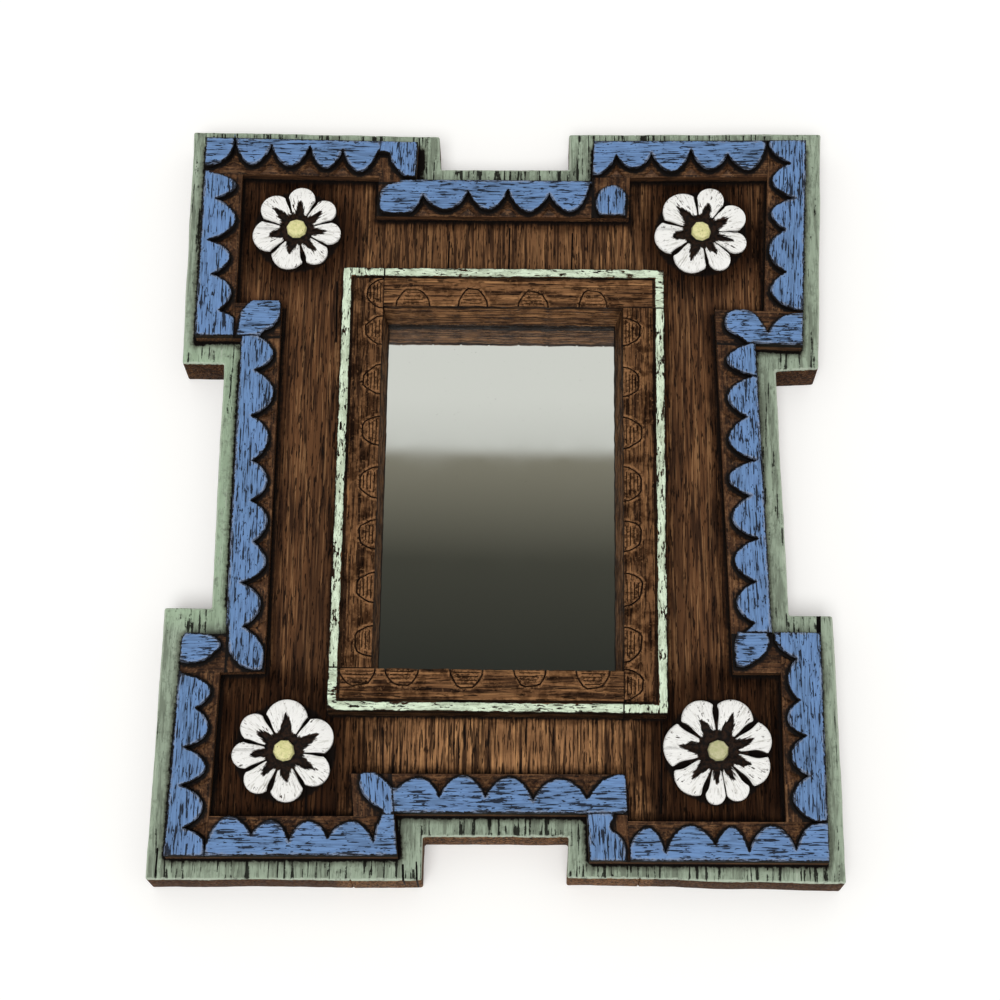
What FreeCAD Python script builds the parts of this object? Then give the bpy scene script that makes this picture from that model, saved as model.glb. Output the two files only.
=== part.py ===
import FreeCAD, Part
import math
import os

# Frame: the mirror lies on its back, face toward +Z, its top edge toward +Y, lengths in millimetres

# Stepped board, four pieces edge to edge around the opening
board_width = 257.0
board_height = 307.0
board_thickness = 18.0
block_height_share = 0.3355     # corner block, measured down the side, of the board height
waist_inset = 19.5              # step in of the sides between the corner blocks
notch_width = 53.0              # step in the middle of the top and bottom edges
notch_depth = 17.0

# The outline is cut by hand: each corner lies this far from its even place, clockwise from the top left
board_corner_shifts = ((1, -1), (-0.5, -2.5), (0.5, -0.5), (-0.5, 0), (-0.5, -1),
                       (0, 0), (-4, 0), (-1.5, -1), (1, 0), (-2, 0),
                       (0, 1.5), (0, 2.5), (0.5, 0.5), (-0.5, 0), (-0.5, 1),
                       (0, 0), (1, 0.5), (-0.5, 0.5), (-1, 0), (2, 0))
strip_corner_shifts = ((0, 0), (0, -1.5), (-0.5, 0), (0, 0), (0.5, -0.5),
                       (0.5, 0.5), (-3.5, -2), (-1, -1.5), (2.5, 0), (0, 0),
                       (0.5, 0.5), (-1, 0), (-2, -1), (-2, -1.5), (-0.5, 1),
                       (0, 0), (2, -2.5), (-2.5, -2), (-2.5, 0), (0, 0))

# Scalloped strips planted on the face
strip_width = 15.0
strip_thickness = 8.0
outer_ledge = 7.5               # bare board outside the strips of the corner blocks
inner_ledge = 8.8               # the same where the outline steps in
carving_depth = 3.0
lobe_reach = 14.0               # from the outer edge of a strip to the crown of its lobes
cusp_offset = 5.0               # from the outer edge to the cusp between two lobes
joint_offset = 1.5              # the same for the cusp where one strip butts against another
lobe_flank_shares = (0.13, 0.42)     # where the straight flank of a lobe passes into its round head
corner_rise = 13.0              # reach of a corner lobe at its outer edge
corner_curve_shares = (0.58, 0.8)    # a point of its curve, of its width and this reach
knob_crown_share = 0.55         # where the flat crown of an end knob passes into its falling curve
knob_fall_shares = (0.6, 0.66)  # a point on that curve, of its width and its height
knob_big_round = 7.5
knob_small_round = 2.0
# Relative widths of the lobes of each strip, clockwise round the outline
lobe_shares = {
    "tl_top": (12, 15, 15, 14, 15), "tl_leg": (1,), "top_notch": (18, 18, 16, 16, 17),
    "tr_top": (9, 14, 16, 15, 16), "tr_right": (9, 16, 14, 19, 13), "tr_side": (17, 19),
    "waist_right": (15, 17, 18, 15, 17, 18, 19), "br_right": (10, 16, 15, 14, 16),
    "br_bottom": (12, 17, 12, 18, 12), "bottom_notch": (17, 19, 18, 17, 14),
    "bl_bottom": (10, 16, 14, 14, 16), "bl_left": (10, 16, 14, 14, 16),
    "waist_left": (16, 16, 16, 18, 16, 19, 19, 14), "tl_left": (11, 15, 15, 18, 12)}
# Loose knobs and blocks: insets at their first end, far end and outer edge, reach, and the round
# at each corner
pad_insets = {
    "tr_knob": (1.0, 3.5, 1.3), "br_side_knob": (0.5, 4.5, 0), "br_leg": (0, 1.5, 0),
    "bl_knob": (0.3, 0.3, 0), "bl_side": (0, 0.3, 0), "tl_side_knob": (0.5, 2.9, 0)}
pad_reach = {
    "tr_knob": 14.0, "br_side_knob": 14.0, "br_leg": 14.5,
    "bl_knob": 14.7, "bl_side": 14.5, "tl_side_knob": 16.5}
pad_rounds = {
    "tr_knob": (3.0, 1.5, 5.0, 5.0), "br_side_knob": (2.0, 1.7, 9.5, 1.0), "br_leg": (0, 0, 6.0, 0),
    "bl_knob": (8.0, 2.0, 9.0, 0), "bl_side": (0, 0, 8.5, 0), "tl_side_knob": (9.0, 1.7, 7.5, 0)}
leg_neck = 9.8                  # width of the neck between the lower right leg and the strip of the notch
wide_pad = 17.0                 # width of the side knob at the top left

# Inner moulding with a leg down into the opening
moulding_width = 16.0
moulding_thickness = 9.0
sight_width_share = 0.368       # of the board width
sight_height_share = 0.48       # of the board height
inner_drop = 1.5                # moulding, opening and glass sit a little below the middle of the board
leg_thickness = 5.5
fillet_width = 3.4
groove_width = 2.0
groove_depth = 1.7
rim_width = 2.0
relief_depth = 1.2
lunette_width = 13.0
lunette_reach = 6.4
lunette_outline_shares = ((0.0, 0.0), (0.03, 0.45), (0.24, 1.0), (0.76, 1.0), (0.97, 0.45), (1.0, 0.0))
long_lunette_count = 7
short_lunette_count = 4

# Glass, backing and its brads, counted up from the back of the board
backing_recess = 2.0
backing_thickness = 2.5
glass_thickness = 2.0
glass_clearance = 0.5
fit_clearance = 0.2
brad_side = 1.2
brad_buried = 6.0
brad_showing = 7.0
brad_side_share = 0.57          # brads of one edge stand this share of the half opening from its middle

# Hanger let into the back of the top board
hanger_length = 48.0
hanger_height = 8.0
hanger_gauge = 1.0
hanger_drop = 28.5              # from the floor of the top notch to the lower edge of the plate
tooth_pitch = 3.0
tooth_depth = 1.8
tooth_count = 9
hanger_nail_spacing = 40.0
nail_head_radius = 1.9
nail_head_height = 0.6
nail_radius = 0.7
nail_length = 11.0
nail_side_count = 8
pocket_width = 28.0
pocket_depth = 8.0
pocket_drop = 12.0              # below the hanger plate, for the head of a wall nail
pocket_cover = 4.0              # part of the pocket that the plate covers

# Carved flowers, one in the field of each corner block
petal_thickness = 4.0
core_thickness = 1.2
petal_gap = 2.0
petal_cusp_share = 0.84         # radius of the outline at a gap between petals, of the flower radius
gap_start_share = 0.5           # inner end of the gaps
notch_end_share = 0.64          # outer end of the gouge cut up the middle of each petal
notch_half_degrees = 13.0
hollow_share = 0.44
core_share = 0.6
hollow_side_count = 24
button_radius = 4.2
button_height = 3.2
button_chamfer = 0.6
button_side_count = 9
# From the strips to the middle of each flower as shares of the field, its radius as a share of the
# smaller of these distances, and the directions of the gaps between its petals
flower_place_shares = {
    "tl": (0.321, 0.411), "tr": (0.383, 0.402), "bl": (0.378, 0.45), "br": (0.337, 0.483)}
flower_radius_shares = {"tl": 0.793, "tr": 0.833, "bl": 0.765, "br": 0.861}
petal_gap_degrees = {
    "tl": (13, 57, 108, 165, 227, 284, 329), "tr": (49, 98, 165, 222, 279, 319, 358),
    "bl": (54, 120, 166, 209, 252, 301, 354), "br": (38, 93, 144, 203, 251, 279, 312, 355)}

overrun = 1.0
same_point = 1e-5               # two ends of a loop closer than this are one corner

half_width = board_width / 2
half_height = board_height / 2
side_x = half_width - outer_ledge
end_y = half_height - outer_ledge
waist_x = half_width - waist_inset - inner_ledge
notch_y = half_height - notch_depth - inner_ledge
shoulder = half_height - board_height * block_height_share
shoulder_y = shoulder + inner_ledge
leg_x = notch_width / 2 + inner_ledge
sight_width = board_width * sight_width_share
sight_height = board_height * sight_height_share
glass_top = backing_recess + backing_thickness + glass_thickness
opening_half_width = sight_width / 2 + leg_thickness + fit_clearance
opening_half_height = sight_height / 2 + leg_thickness + fit_clearance
opening_top = opening_half_height - inner_drop
opening_bottom = -opening_half_height - inner_drop
moulding_top_z = board_thickness + moulding_thickness

os.makedirs("parts", exist_ok=True)


def export(name, shape):
    shape.exportStep("parts/" + name + ".step")


def frame(corner, along, inward):
    """Map local (u along a piece, v away from its outer edge) to world vectors."""
    def place(u, v, z=0.0):
        return FreeCAD.Vector(corner[0] + u * along[0] + v * inward[0],
                              corner[1] + u * along[1] + v * inward[1], z)
    return place


def loop_edges(steps, place):
    """Closed loop from corners (u, v, rounding radius) and lists of three points of an arc."""
    def first(step):
        return step[0] if isinstance(step, list) else step[:2]

    def last(step):
        return step[-1] if isinstance(step, list) else step[:2]

    def toward(start, goal):
        gap = math.hypot(goal[0] - start[0], goal[1] - start[1])
        return ((goal[0] - start[0]) / gap, (goal[1] - start[1]) / gap)

    edges = []
    spans = []
    for index, step in enumerate(steps):
        if isinstance(step, list):
            edges.append(Part.Arc(*[place(*point) for point in step]).toShape())
            spans.append((step[0], step[-1]))
        elif step[2] == 0:
            spans.append((step[:2], step[:2]))
        else:
            u, v, radius = step
            back = toward((u, v), last(steps[index - 1]))
            ahead = toward((u, v), first(steps[(index + 1) % len(steps)]))
            enter = (u + radius * back[0], v + radius * back[1])
            leave = (u + radius * ahead[0], v + radius * ahead[1])
            pull = radius * (1 - math.sqrt(0.5))
            middle = (u + pull * (back[0] + ahead[0]), v + pull * (back[1] + ahead[1]))
            edges.append(Part.Arc(place(*enter), place(*middle), place(*leave)).toShape())
            spans.append((enter, leave))
    for index, span in enumerate(spans):
        start, goal = place(*spans[index - 1][1]), place(*span[0])
        if not start.isEqual(goal, same_point):
            edges.append(Part.makeLine(start, goal))
    return edges


def prism(steps, place, bottom, top):
    """Solid between two heights with the given loop as its outline."""
    edges = loop_edges(steps, place)
    wire = Part.Wire(Part.__sortEdges__(edges))
    solid = Part.Face(wire).extrude(FreeCAD.Vector(0, 0, top - bottom))
    solid.translate(FreeCAD.Vector(0, 0, bottom))
    return solid


def block(place, u0, u1, v0, v1, bottom, top):
    return prism([(u0, v0, 0), (u1, v0, 0), (u1, v1, 0), (u0, v1, 0)], place, bottom, top)


def round_steps(centre, radius, side_count):
    """Loop of corners on a circle."""
    turns = [2 * math.pi * side / side_count for side in range(side_count)]
    return [(centre[0] + radius * math.cos(turn), centre[1] + radius * math.sin(turn), 0) for turn in turns]


def stepped_corners(side, end, notch_x, notch_floor, waist, shoulder_edge, shifts):
    """Corners of the stepped outline, clockwise from the top left, with their hand-cut shifts."""
    notch = [(notch_x, notch_floor), (notch_x, end)]
    quarter = notch + [(side, end), (side, shoulder_edge), (waist, shoulder_edge)]
    right = quarter + [(x, -y) for x, y in reversed(quarter)]
    clockwise = right + [(-x, y) for x, y in reversed(right)]
    from_top_left = clockwise[-3:] + clockwise[:-3]
    return [(x + shift_x, y + shift_y) for (x, y), (shift_x, shift_y) in zip(from_top_left, shifts)]


# Base boards, cut from one stepped outline
world = frame((0, 0), (1, 0), (0, 1))
outline_corners = stepped_corners(half_width, half_height, notch_width / 2, half_height - notch_depth,
                                  half_width - waist_inset, shoulder, board_corner_shifts)
outline = prism([corner + (0,) for corner in outline_corners], world, 0, board_thickness)
past_side, past_end = half_width + overrun, half_height + overrun


def board(x0, x1, y0, y1):
    return outline.common(block(world, x0, x1, y0, y1, 0, board_thickness))


board_top = board(-opening_half_width, opening_half_width, opening_top, past_end)

# Brads: driven into the walls of the opening, lying on the back of the backing board
middle_y = -inner_drop
brads = []
for along, wall, half_side in (((1, 0), opening_half_width, opening_half_height),
                               ((0, 1), opening_half_height, opening_half_width)):
    for sign in (-1, 1):
        brad_frame = frame((0, middle_y), (sign * along[0], sign * along[1]), (along[1], along[0]))
        for share in (-brad_side_share, brad_side_share):
            middle = share * half_side
            brads.append(block(brad_frame, wall - brad_showing, wall + brad_buried, middle - brad_side / 2,
                               middle + brad_side / 2, backing_recess - brad_side, backing_recess))
brad_group = Part.makeCompound(brads)
export("backing_brads", brad_group)

# Sawtooth hanger, flush with the back: recess and pocket in the top board, toothed plate, two nails
hanger_y = half_height - notch_depth - hanger_drop
plate_bottom = nail_head_height
plate_top = plate_bottom + hanger_gauge
half_hanger = hanger_length / 2
teeth_start = -tooth_count * tooth_pitch / 2
teeth = [(half_hanger, hanger_y, 0), (half_hanger, hanger_y + hanger_height, 0),
         (-half_hanger, hanger_y + hanger_height, 0), (-half_hanger, hanger_y, 0)]
for tooth in range(tooth_count):
    left = teeth_start + tooth * tooth_pitch
    teeth.append((left, hanger_y, 0))
    teeth.append((left + tooth_pitch / 2, hanger_y + tooth_depth, 0))
teeth.append((-teeth_start, hanger_y, 0))
plate = prism(teeth, world, plate_bottom, plate_top)
nails = []
for sign in (-1, 1):
    x, y = sign * hanger_nail_spacing / 2, hanger_y + hanger_height / 2
    shank = prism(round_steps((x, y), nail_radius, nail_side_count), world, 0, nail_length)
    head = prism(round_steps((x, y), nail_head_radius, nail_side_count), world, 0, nail_head_height)
    nails.append(shank.fuse(head).removeSplitter())
    plate = plate.cut(shank)
nail_group = Part.makeCompound(nails)
recess = block(world, -half_hanger - fit_clearance, half_hanger + fit_clearance, hanger_y - fit_clearance,
               hanger_y + hanger_height + fit_clearance, -overrun, plate_top)
pocket = block(world, -pocket_width / 2, pocket_width / 2, hanger_y - pocket_drop,
               hanger_y + pocket_cover, -overrun, pocket_depth)
board_top = board_top.cut(recess.fuse(pocket)).cut(nail_group)
export("sawtooth_hanger", plate)
export("hanger_nails", nail_group)
for name, piece in (
        ("board_left", board(-past_side, -opening_half_width, -past_end, past_end)),
        ("board_right", board(opening_half_width, past_side, -past_end, past_end)),
        ("board_top", board_top),
        ("board_bottom", board(-opening_half_width, opening_half_width, -past_end, opening_bottom))):
    export(name, piece.cut(brad_group))

# Glass and backing board in the opening
glass_half_width = opening_half_width - glass_clearance
glass_half_height = opening_half_height - glass_clearance
backing_top = backing_recess + backing_thickness
for name, low, high in (
        ("backing_board", backing_recess, backing_top), ("mirror_glass", backing_top, glass_top)):
    export(name, block(world, -glass_half_width, glass_half_width, middle_y - glass_half_height,
                       middle_y + glass_half_height, low, high))


# Inner moulding: each strip covers the corner at its first end and butts against the next at its other end
def lunette(place, centre):
    outline = [(centre + (share - 0.5) * lunette_width, moulding_width - rise * lunette_reach, 0)
               for share, rise in lunette_outline_shares]
    return prism(outline, place, moulding_top_z - relief_depth, moulding_top_z)


def moulding(place, length, count, corner_lunette):
    top = moulding_top_z
    groove_start, rim_start = fillet_width, fillet_width + groove_width
    ground_start = rim_start + rim_width
    past_end, past_side = length + overrun, moulding_width + overrun
    solid = block(place, 0, length, 0, moulding_width, board_thickness, top)
    inside = block(place, rim_start, past_end, rim_start, past_side, board_thickness, top + overrun)
    groove = block(place, groove_start, past_end, groove_start, past_side,
                   top - groove_depth, top + overrun)
    solid = solid.cut(groove.cut(inside))
    ground = block(place, ground_start, past_end, ground_start, past_side,
                   top - relief_depth, top + overrun)
    solid = solid.cut(ground)
    pitch = (length - moulding_width) / count
    centres = [moulding_width + pitch * (index + 0.5) for index in range(count)]
    if corner_lunette:
        centres.append(moulding_width - lunette_width / 2 + rim_width)
    for centre in centres:
        solid = solid.fuse(lunette(place, centre))
    leg_start = moulding_width - leg_thickness
    leg = block(place, leg_start, length, leg_start, moulding_width, glass_top, board_thickness)
    return solid.fuse(leg).removeSplitter()


frame_x = sight_width / 2 + moulding_width
frame_top = sight_height / 2 + moulding_width - inner_drop
frame_bottom = -sight_height / 2 - moulding_width - inner_drop
long_length = sight_height + moulding_width
short_length = sight_width + moulding_width
for name, corner, along, inward, length, count, extra in (
        ("moulding_left", (-frame_x, frame_top), (0, -1), (1, 0), long_length, long_lunette_count, False),
        ("moulding_bottom", (-frame_x, frame_bottom), (1, 0), (0, 1), short_length, short_lunette_count, True),
        ("moulding_right", (frame_x, frame_bottom), (0, 1), (-1, 0), long_length, long_lunette_count, True),
        ("moulding_top", (frame_x, frame_top), (-1, 0), (0, -1), short_length, short_lunette_count, False)):
    export(name, moulding(frame(corner, along, inward), length, count, extra))


# Scalloped strips, butted end to side round the stepped outline
strip_corners = stepped_corners(side_x, end_y, leg_x, notch_y, waist_x, shoulder_y, strip_corner_shifts)


def edge_line(index, offset):
    """Point, direction and inward normal of an edge of the strips' outline, moved inward by the offset."""
    start, goal = (strip_corners[(index + step) % len(strip_corners)] for step in (0, 1))
    length = math.hypot(goal[0] - start[0], goal[1] - start[1])
    along = ((goal[0] - start[0]) / length, (goal[1] - start[1]) / length)
    inward = (along[1], -along[0])
    return (start[0] + offset * inward[0], start[1] + offset * inward[1]), along, inward


def meeting(first, second):
    """Crossing of two lines."""
    (start, along, _), (other, _, normal) = first, second
    gap = (other[0] - start[0]) * normal[0] + (other[1] - start[1]) * normal[1]
    reach = gap / (along[0] * normal[0] + along[1] * normal[1])
    return (start[0] + reach * along[0], start[1] + reach * along[1])


def spread(values, total):
    """Running positions that divide a length in the ratio of the given values."""
    positions = [0.0]
    for value in values:
        positions.append(positions[-1] + total * value / sum(values))
    return positions


def head_steps(kind, width):
    """Outline at the first end of a strip, up to its first cusp, which lies width from the end."""
    if kind == "joint":
        return [(-overrun, 0, 0), (-overrun, joint_offset, 0), (0, joint_offset, 0)]
    if kind == "corner":
        across, up = corner_curve_shares
        return [(-overrun, 0, 0), (-overrun, corner_rise, 0),
                [(0, corner_rise), (across * width, up * corner_rise), (width, cusp_offset)]]
    margin, crown_end = strip_width - lobe_reach, knob_crown_share * width
    across, up = knob_fall_shares
    fall = [(crown_end, lobe_reach),
            (crown_end + across * (width - crown_end), cusp_offset + up * (lobe_reach - cusp_offset)),
            (width, cusp_offset)]
    return [(margin, 0, knob_big_round), (margin, lobe_reach, knob_small_round), fall]


def mirrored(steps, length):
    flipped = []
    for step in reversed(steps):
        if isinstance(step, list):
            flipped.append([(length - u, v) for u, v in reversed(step)])
        else:
            flipped.append((length - step[0],) + step[1:])
    return flipped


def scallops(name, start, end):
    """Raised outline with the named row of lobes between two kinds of end."""
    def steps(length):
        lobes = lobe_shares[name]
        cusps = spread(lobes, length)
        first = 0 if start == "joint" else 1
        last = len(lobes) if end == "joint" else len(lobes) - 1
        path = head_steps(start, cusps[1])
        across, up = lobe_flank_shares
        shoulder_v = cusp_offset + up * (lobe_reach - cusp_offset)
        for index in range(first, last):
            left, right = cusps[index:index + 2]
            flank = across * (right - left)
            crown = ((left + right) / 2, lobe_reach)
            path.append([(left + flank, shoulder_v), crown, (right - flank, shoulder_v)])
            if index < last - 1:
                path.append((right, cusp_offset, 0))
        return path + mirrored(head_steps(end, length - cusps[-2]), length)
    return steps


def pad(name, neck=0):
    """Raised outline of the named loose knob, with a neck at its far end if it has one."""
    def steps(length):
        start_inset, end_inset, outer_inset = pad_insets[name]
        reach, rounds = pad_reach[name], pad_rounds[name]
        start = start_inset if start_inset else -overrun
        end = length - end_inset
        corners = [(start, outer_inset, rounds[0]), (start, reach, rounds[1]), (end, reach, rounds[2])]
        if not neck:
            return corners + [(end, outer_inset, rounds[3])]
        return corners + [(end, neck, 0), (length + overrun, neck, 0), (length + overrun, outer_inset, 0)]
    return steps


def strip(index, start_reach, end_reach, width, steps):
    """Strip along one edge, trimmed by its neighbours' lines, raised above its cut floor."""
    outer, inner = edge_line(index, 0), edge_line(index, width)
    before = edge_line(index - 1, start_reach * strip_width)
    after = edge_line(index + 1, end_reach * strip_width)
    first, last = meeting(outer, before), meeting(outer, after)
    ring = [point + (0,) for point in (first, last, meeting(inner, after), meeting(inner, before))]
    floor, top = board_thickness + strip_thickness - carving_depth, board_thickness + strip_thickness
    length = math.hypot(last[0] - first[0], last[1] - first[1])
    raised = prism(steps(length), frame(first, outer[1], outer[2]), floor, top)
    slab, crown = prism(ring, world, board_thickness, floor), prism(ring, world, floor, top)
    return slab.fuse(crown.common(raised)).removeSplitter()


# In order round the outline. Each row: name, how far it reaches at each end (0 to its neighbour's
# outer edge, 1 to the inner edge), its width and its raised outline
for index, (name, start_reach, end_reach, width, steps) in enumerate((
        ("tl_top", 0, 1, strip_width, scallops("tl_top", "corner", "joint")),
        ("tl_leg", 0, 0, strip_width, scallops("tl_leg", "corner", "joint")),
        ("top_notch", 1, 0, strip_width, scallops("top_notch", "knob", "joint")),
        ("tr_knob", 1, 1, strip_width, pad("tr_knob")),
        ("tr_top", 0, 1, strip_width, scallops("tr_top", "corner", "joint")),
        ("tr_right", 0, 1, strip_width, scallops("tr_right", "corner", "joint")),
        ("tr_side", 0, 1, strip_width, scallops("tr_side", "corner", "knob")),
        ("waist_right", 0, 0, strip_width, scallops("waist_right", "joint", "joint")),
        ("br_side_knob", 1, 1, strip_width, pad("br_side_knob")),
        ("br_right", 0, 1, strip_width, scallops("br_right", "corner", "joint")),
        ("br_bottom", 0, 1, strip_width, scallops("br_bottom", "corner", "joint")),
        ("br_leg", 0, 0, strip_width, pad("br_leg", leg_neck)),
        ("bottom_notch", 1, 0, strip_width, scallops("bottom_notch", "knob", "joint")),
        ("bl_knob", 1, 1, strip_width, pad("bl_knob")),
        ("bl_bottom", 0, 1, strip_width, scallops("bl_bottom", "corner", "joint")),
        ("bl_left", 0, 1, strip_width, scallops("bl_left", "corner", "joint")),
        ("bl_side", 0, 0, strip_width, pad("bl_side")),
        ("waist_left", 1, 0, strip_width, scallops("waist_left", "knob", "joint")),
        ("tl_side_knob", 1, 1, wide_pad, pad("tl_side_knob")),
        ("tl_left", 0, 1, strip_width, scallops("tl_left", "corner", "joint")))):
    export("strip_" + name, strip(index, start_reach, end_reach, width, steps))


# Carved flowers and their buttons
def flower(place, radius, gaps):
    """Rosette with a gap at each of the given angles, in degrees, and a gouge cut up each petal."""
    def polar(angle, distance):
        return (distance * math.cos(math.radians(angle)), distance * math.sin(math.radians(angle)))

    base, top = board_thickness, board_thickness + petal_thickness
    core_top = base + core_thickness
    rim, cuts = [], []
    for index, gap in enumerate(gaps):
        sweep = (gaps[(index + 1) % len(gaps)] - gap) % 360
        middle = gap + sweep / 2
        rim.append([polar(gap, petal_cusp_share * radius), polar(middle, radius),
                    polar(gap + sweep, petal_cusp_share * radius)])
        cosine, sine = polar(gap, 1)
        slot = frame(place(0, 0)[:2], (cosine, sine), (-sine, cosine))
        cuts.append(block(slot, gap_start_share * radius, radius + overrun, -petal_gap / 2, petal_gap / 2,
                          base - overrun, top + overrun))
        tip = polar(middle, notch_end_share * radius)
        sides = [polar(middle + turn, gap_start_share * radius / 2)
                 for turn in (-2 * notch_half_degrees, 2 * notch_half_degrees)]
        cuts.append(prism([tip + (0,)] + [side + (0,) for side in sides], place, core_top, top + overrun))
    hollow_steps = round_steps((0, 0), hollow_share * radius, hollow_side_count)
    core_steps = round_steps((0, 0), core_share * radius, hollow_side_count)
    petals = prism(rim, place, base, top).cut(Part.makeCompound(cuts))
    petals = petals.cut(prism(hollow_steps, place, base, top))
    return petals.fuse(prism(core_steps, place, base, core_top)).removeSplitter()


def button(centre):
    low = board_thickness + core_thickness
    high = low + button_height
    rings = []
    for radius, z in ((button_radius, low), (button_radius, high - button_chamfer),
                      (button_radius - button_chamfer, high)):
        corners = [world(u, v, z) for u, v, _ in round_steps(centre, radius, button_side_count)]
        rings.append(Part.makePolygon(corners + corners[:1]))
    return Part.makeLoft(rings, True, True)


inner_x, inner_y = side_x - strip_width, end_y - strip_width
field_width, field_height = inner_x - leg_x, inner_y - shoulder_y - strip_width
for name, side, end in (("tl", -1, 1), ("tr", 1, 1), ("bl", -1, -1), ("br", 1, -1)):
    share_x, share_y = flower_place_shares[name]
    inset_x, inset_y = share_x * field_width, share_y * field_height
    centre = (side * (inner_x - inset_x), end * (inner_y - inset_y))
    radius = flower_radius_shares[name] * min(inset_x, inset_y)
    export("flower_" + name, flower(frame(centre, (1, 0), (0, 1)), radius, petal_gap_degrees[name]))
    export("button_" + name, button(centre))
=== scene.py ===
"""Carved wooden wall mirror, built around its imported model: boards, scalloped strips, inner moulding,
flowers, glass and the stage. Outlines are worked out in millimetres and scaled to metres."""
import math

import bmesh
import bpy
import numpy as np
from mathutils import Matrix, Vector, noise


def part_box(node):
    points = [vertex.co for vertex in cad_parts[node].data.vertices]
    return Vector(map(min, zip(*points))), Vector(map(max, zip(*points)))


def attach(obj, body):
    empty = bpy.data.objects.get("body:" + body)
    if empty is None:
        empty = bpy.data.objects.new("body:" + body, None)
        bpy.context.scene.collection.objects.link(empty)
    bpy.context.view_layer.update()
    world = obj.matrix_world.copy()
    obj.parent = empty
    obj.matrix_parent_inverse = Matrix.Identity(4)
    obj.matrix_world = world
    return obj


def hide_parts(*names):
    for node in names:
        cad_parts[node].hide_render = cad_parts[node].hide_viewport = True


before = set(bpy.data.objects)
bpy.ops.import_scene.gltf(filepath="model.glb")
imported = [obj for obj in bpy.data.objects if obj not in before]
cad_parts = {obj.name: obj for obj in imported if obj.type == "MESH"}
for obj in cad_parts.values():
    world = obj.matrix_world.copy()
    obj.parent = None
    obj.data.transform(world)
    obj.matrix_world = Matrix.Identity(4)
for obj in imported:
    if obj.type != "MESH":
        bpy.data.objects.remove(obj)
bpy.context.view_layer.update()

bl_info = {
    "name": "Carved Wall Mirror",
    "version": (1, 0, 0),
    "blender": (4, 5, 0),
    "location": "3D View > Sidebar > Mirror",
    "description": "Builds a carved and painted wooden wall mirror around its packed model",
    "category": "Object",
}

MM = 0.001
# How far cutters run past a piece, and blanks past their cutters
OVERRUN, MARGIN = 4.0, 9.0
# Past the outline on every side, and the greatest distance that a mask of the boards holds
BEYOND, FAR = 200, 20
NOISE_SEED = 5
CUT_ATTEMPTS, CUT_NUDGE = 6, (0.0013, 0.0009, 0.0011)
MERGE_DISTANCE, SHORTEST_EDGE = 0.005, 0.1
SMOOTH_DEGREES = 32
# Size of the grid cut into each kind of piece
BOARD_GRID, STRIP_GRID, MOULDING_GRID, PETAL_GRID = (2.2, 2.6), (1.5, 1.5), (2.5, 2.5), (1.2, 1.2)

# Stepped outlines: corners of the boards and of the strips, clockwise from the top left
BOARD_THICKNESS = 18.0
BOARD_SHIFTS = ((1, -1), (-0.5, -2.5), (0.5, -0.5), (-0.5, 0), (-0.5, -1),
                (0, 0), (-4, 0), (-1.5, -1), (1, 0), (-2, 0),
                (0, 1.5), (0, 2.5), (0.5, 0.5), (-0.5, 0), (-0.5, 1),
                (0, 0), (1, 0.5), (-0.5, 0.5), (-1, 0), (2, 0))
STRIP_SHIFTS = ((0, 0), (0, -1.5), (-0.5, 0), (0, 0), (0.5, -0.5),
                (0.5, 0.5), (-3.5, -2), (-1, -1.5), (2.5, 0), (0, 0),
                (0.5, 0.5), (-1, 0), (-2, -1), (-2, -1.5), (-0.5, 1),
                (0, 0), (2, -2.5), (-2.5, -2), (-2.5, 0), (0, 0))
BOARD_STEPS = dict(side=128.5, end=153.5, notch_x=26.5, notch_floor=136.5, waist=109.0, shoulder=50.5)
STRIP_STEPS = dict(side=121.0, end=146.0, notch_x=35.3, notch_floor=127.7, waist=100.2, shoulder=59.3)
OPENING_SIDE, OPENING_TOP, OPENING_BOTTOM = 53.0, 77.9, -80.9

# Scalloped strips
STRIP_WIDTH, STRIP_TOP, CHIP_FLOOR = 15.0, 26.0, 23.0
LOBE_FULLNESS, LOBE_STEPS, RIDGE_OVERRUN = 0.72, 12, 0.6
# Name, reach at each end into the neighbouring strips
STRIPS = (
    ("tl_top", 0, 1), ("tl_leg", 0, 0), ("top_notch", 1, 0), ("tr_knob", 1, 1), ("tr_top", 0, 1),
    ("tr_right", 0, 1), ("tr_side", 0, 1), ("waist_right", 0, 0), ("br_side_knob", 1, 1), ("br_right", 0, 1),
    ("br_bottom", 0, 1), ("br_leg", 0, 0), ("bottom_notch", 1, 0), ("bl_knob", 1, 1), ("bl_bottom", 0, 1),
    ("bl_left", 0, 1), ("bl_side", 0, 0), ("waist_left", 1, 0), ("tl_side_knob", 1, 1), ("tl_left", 0, 1))
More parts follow.
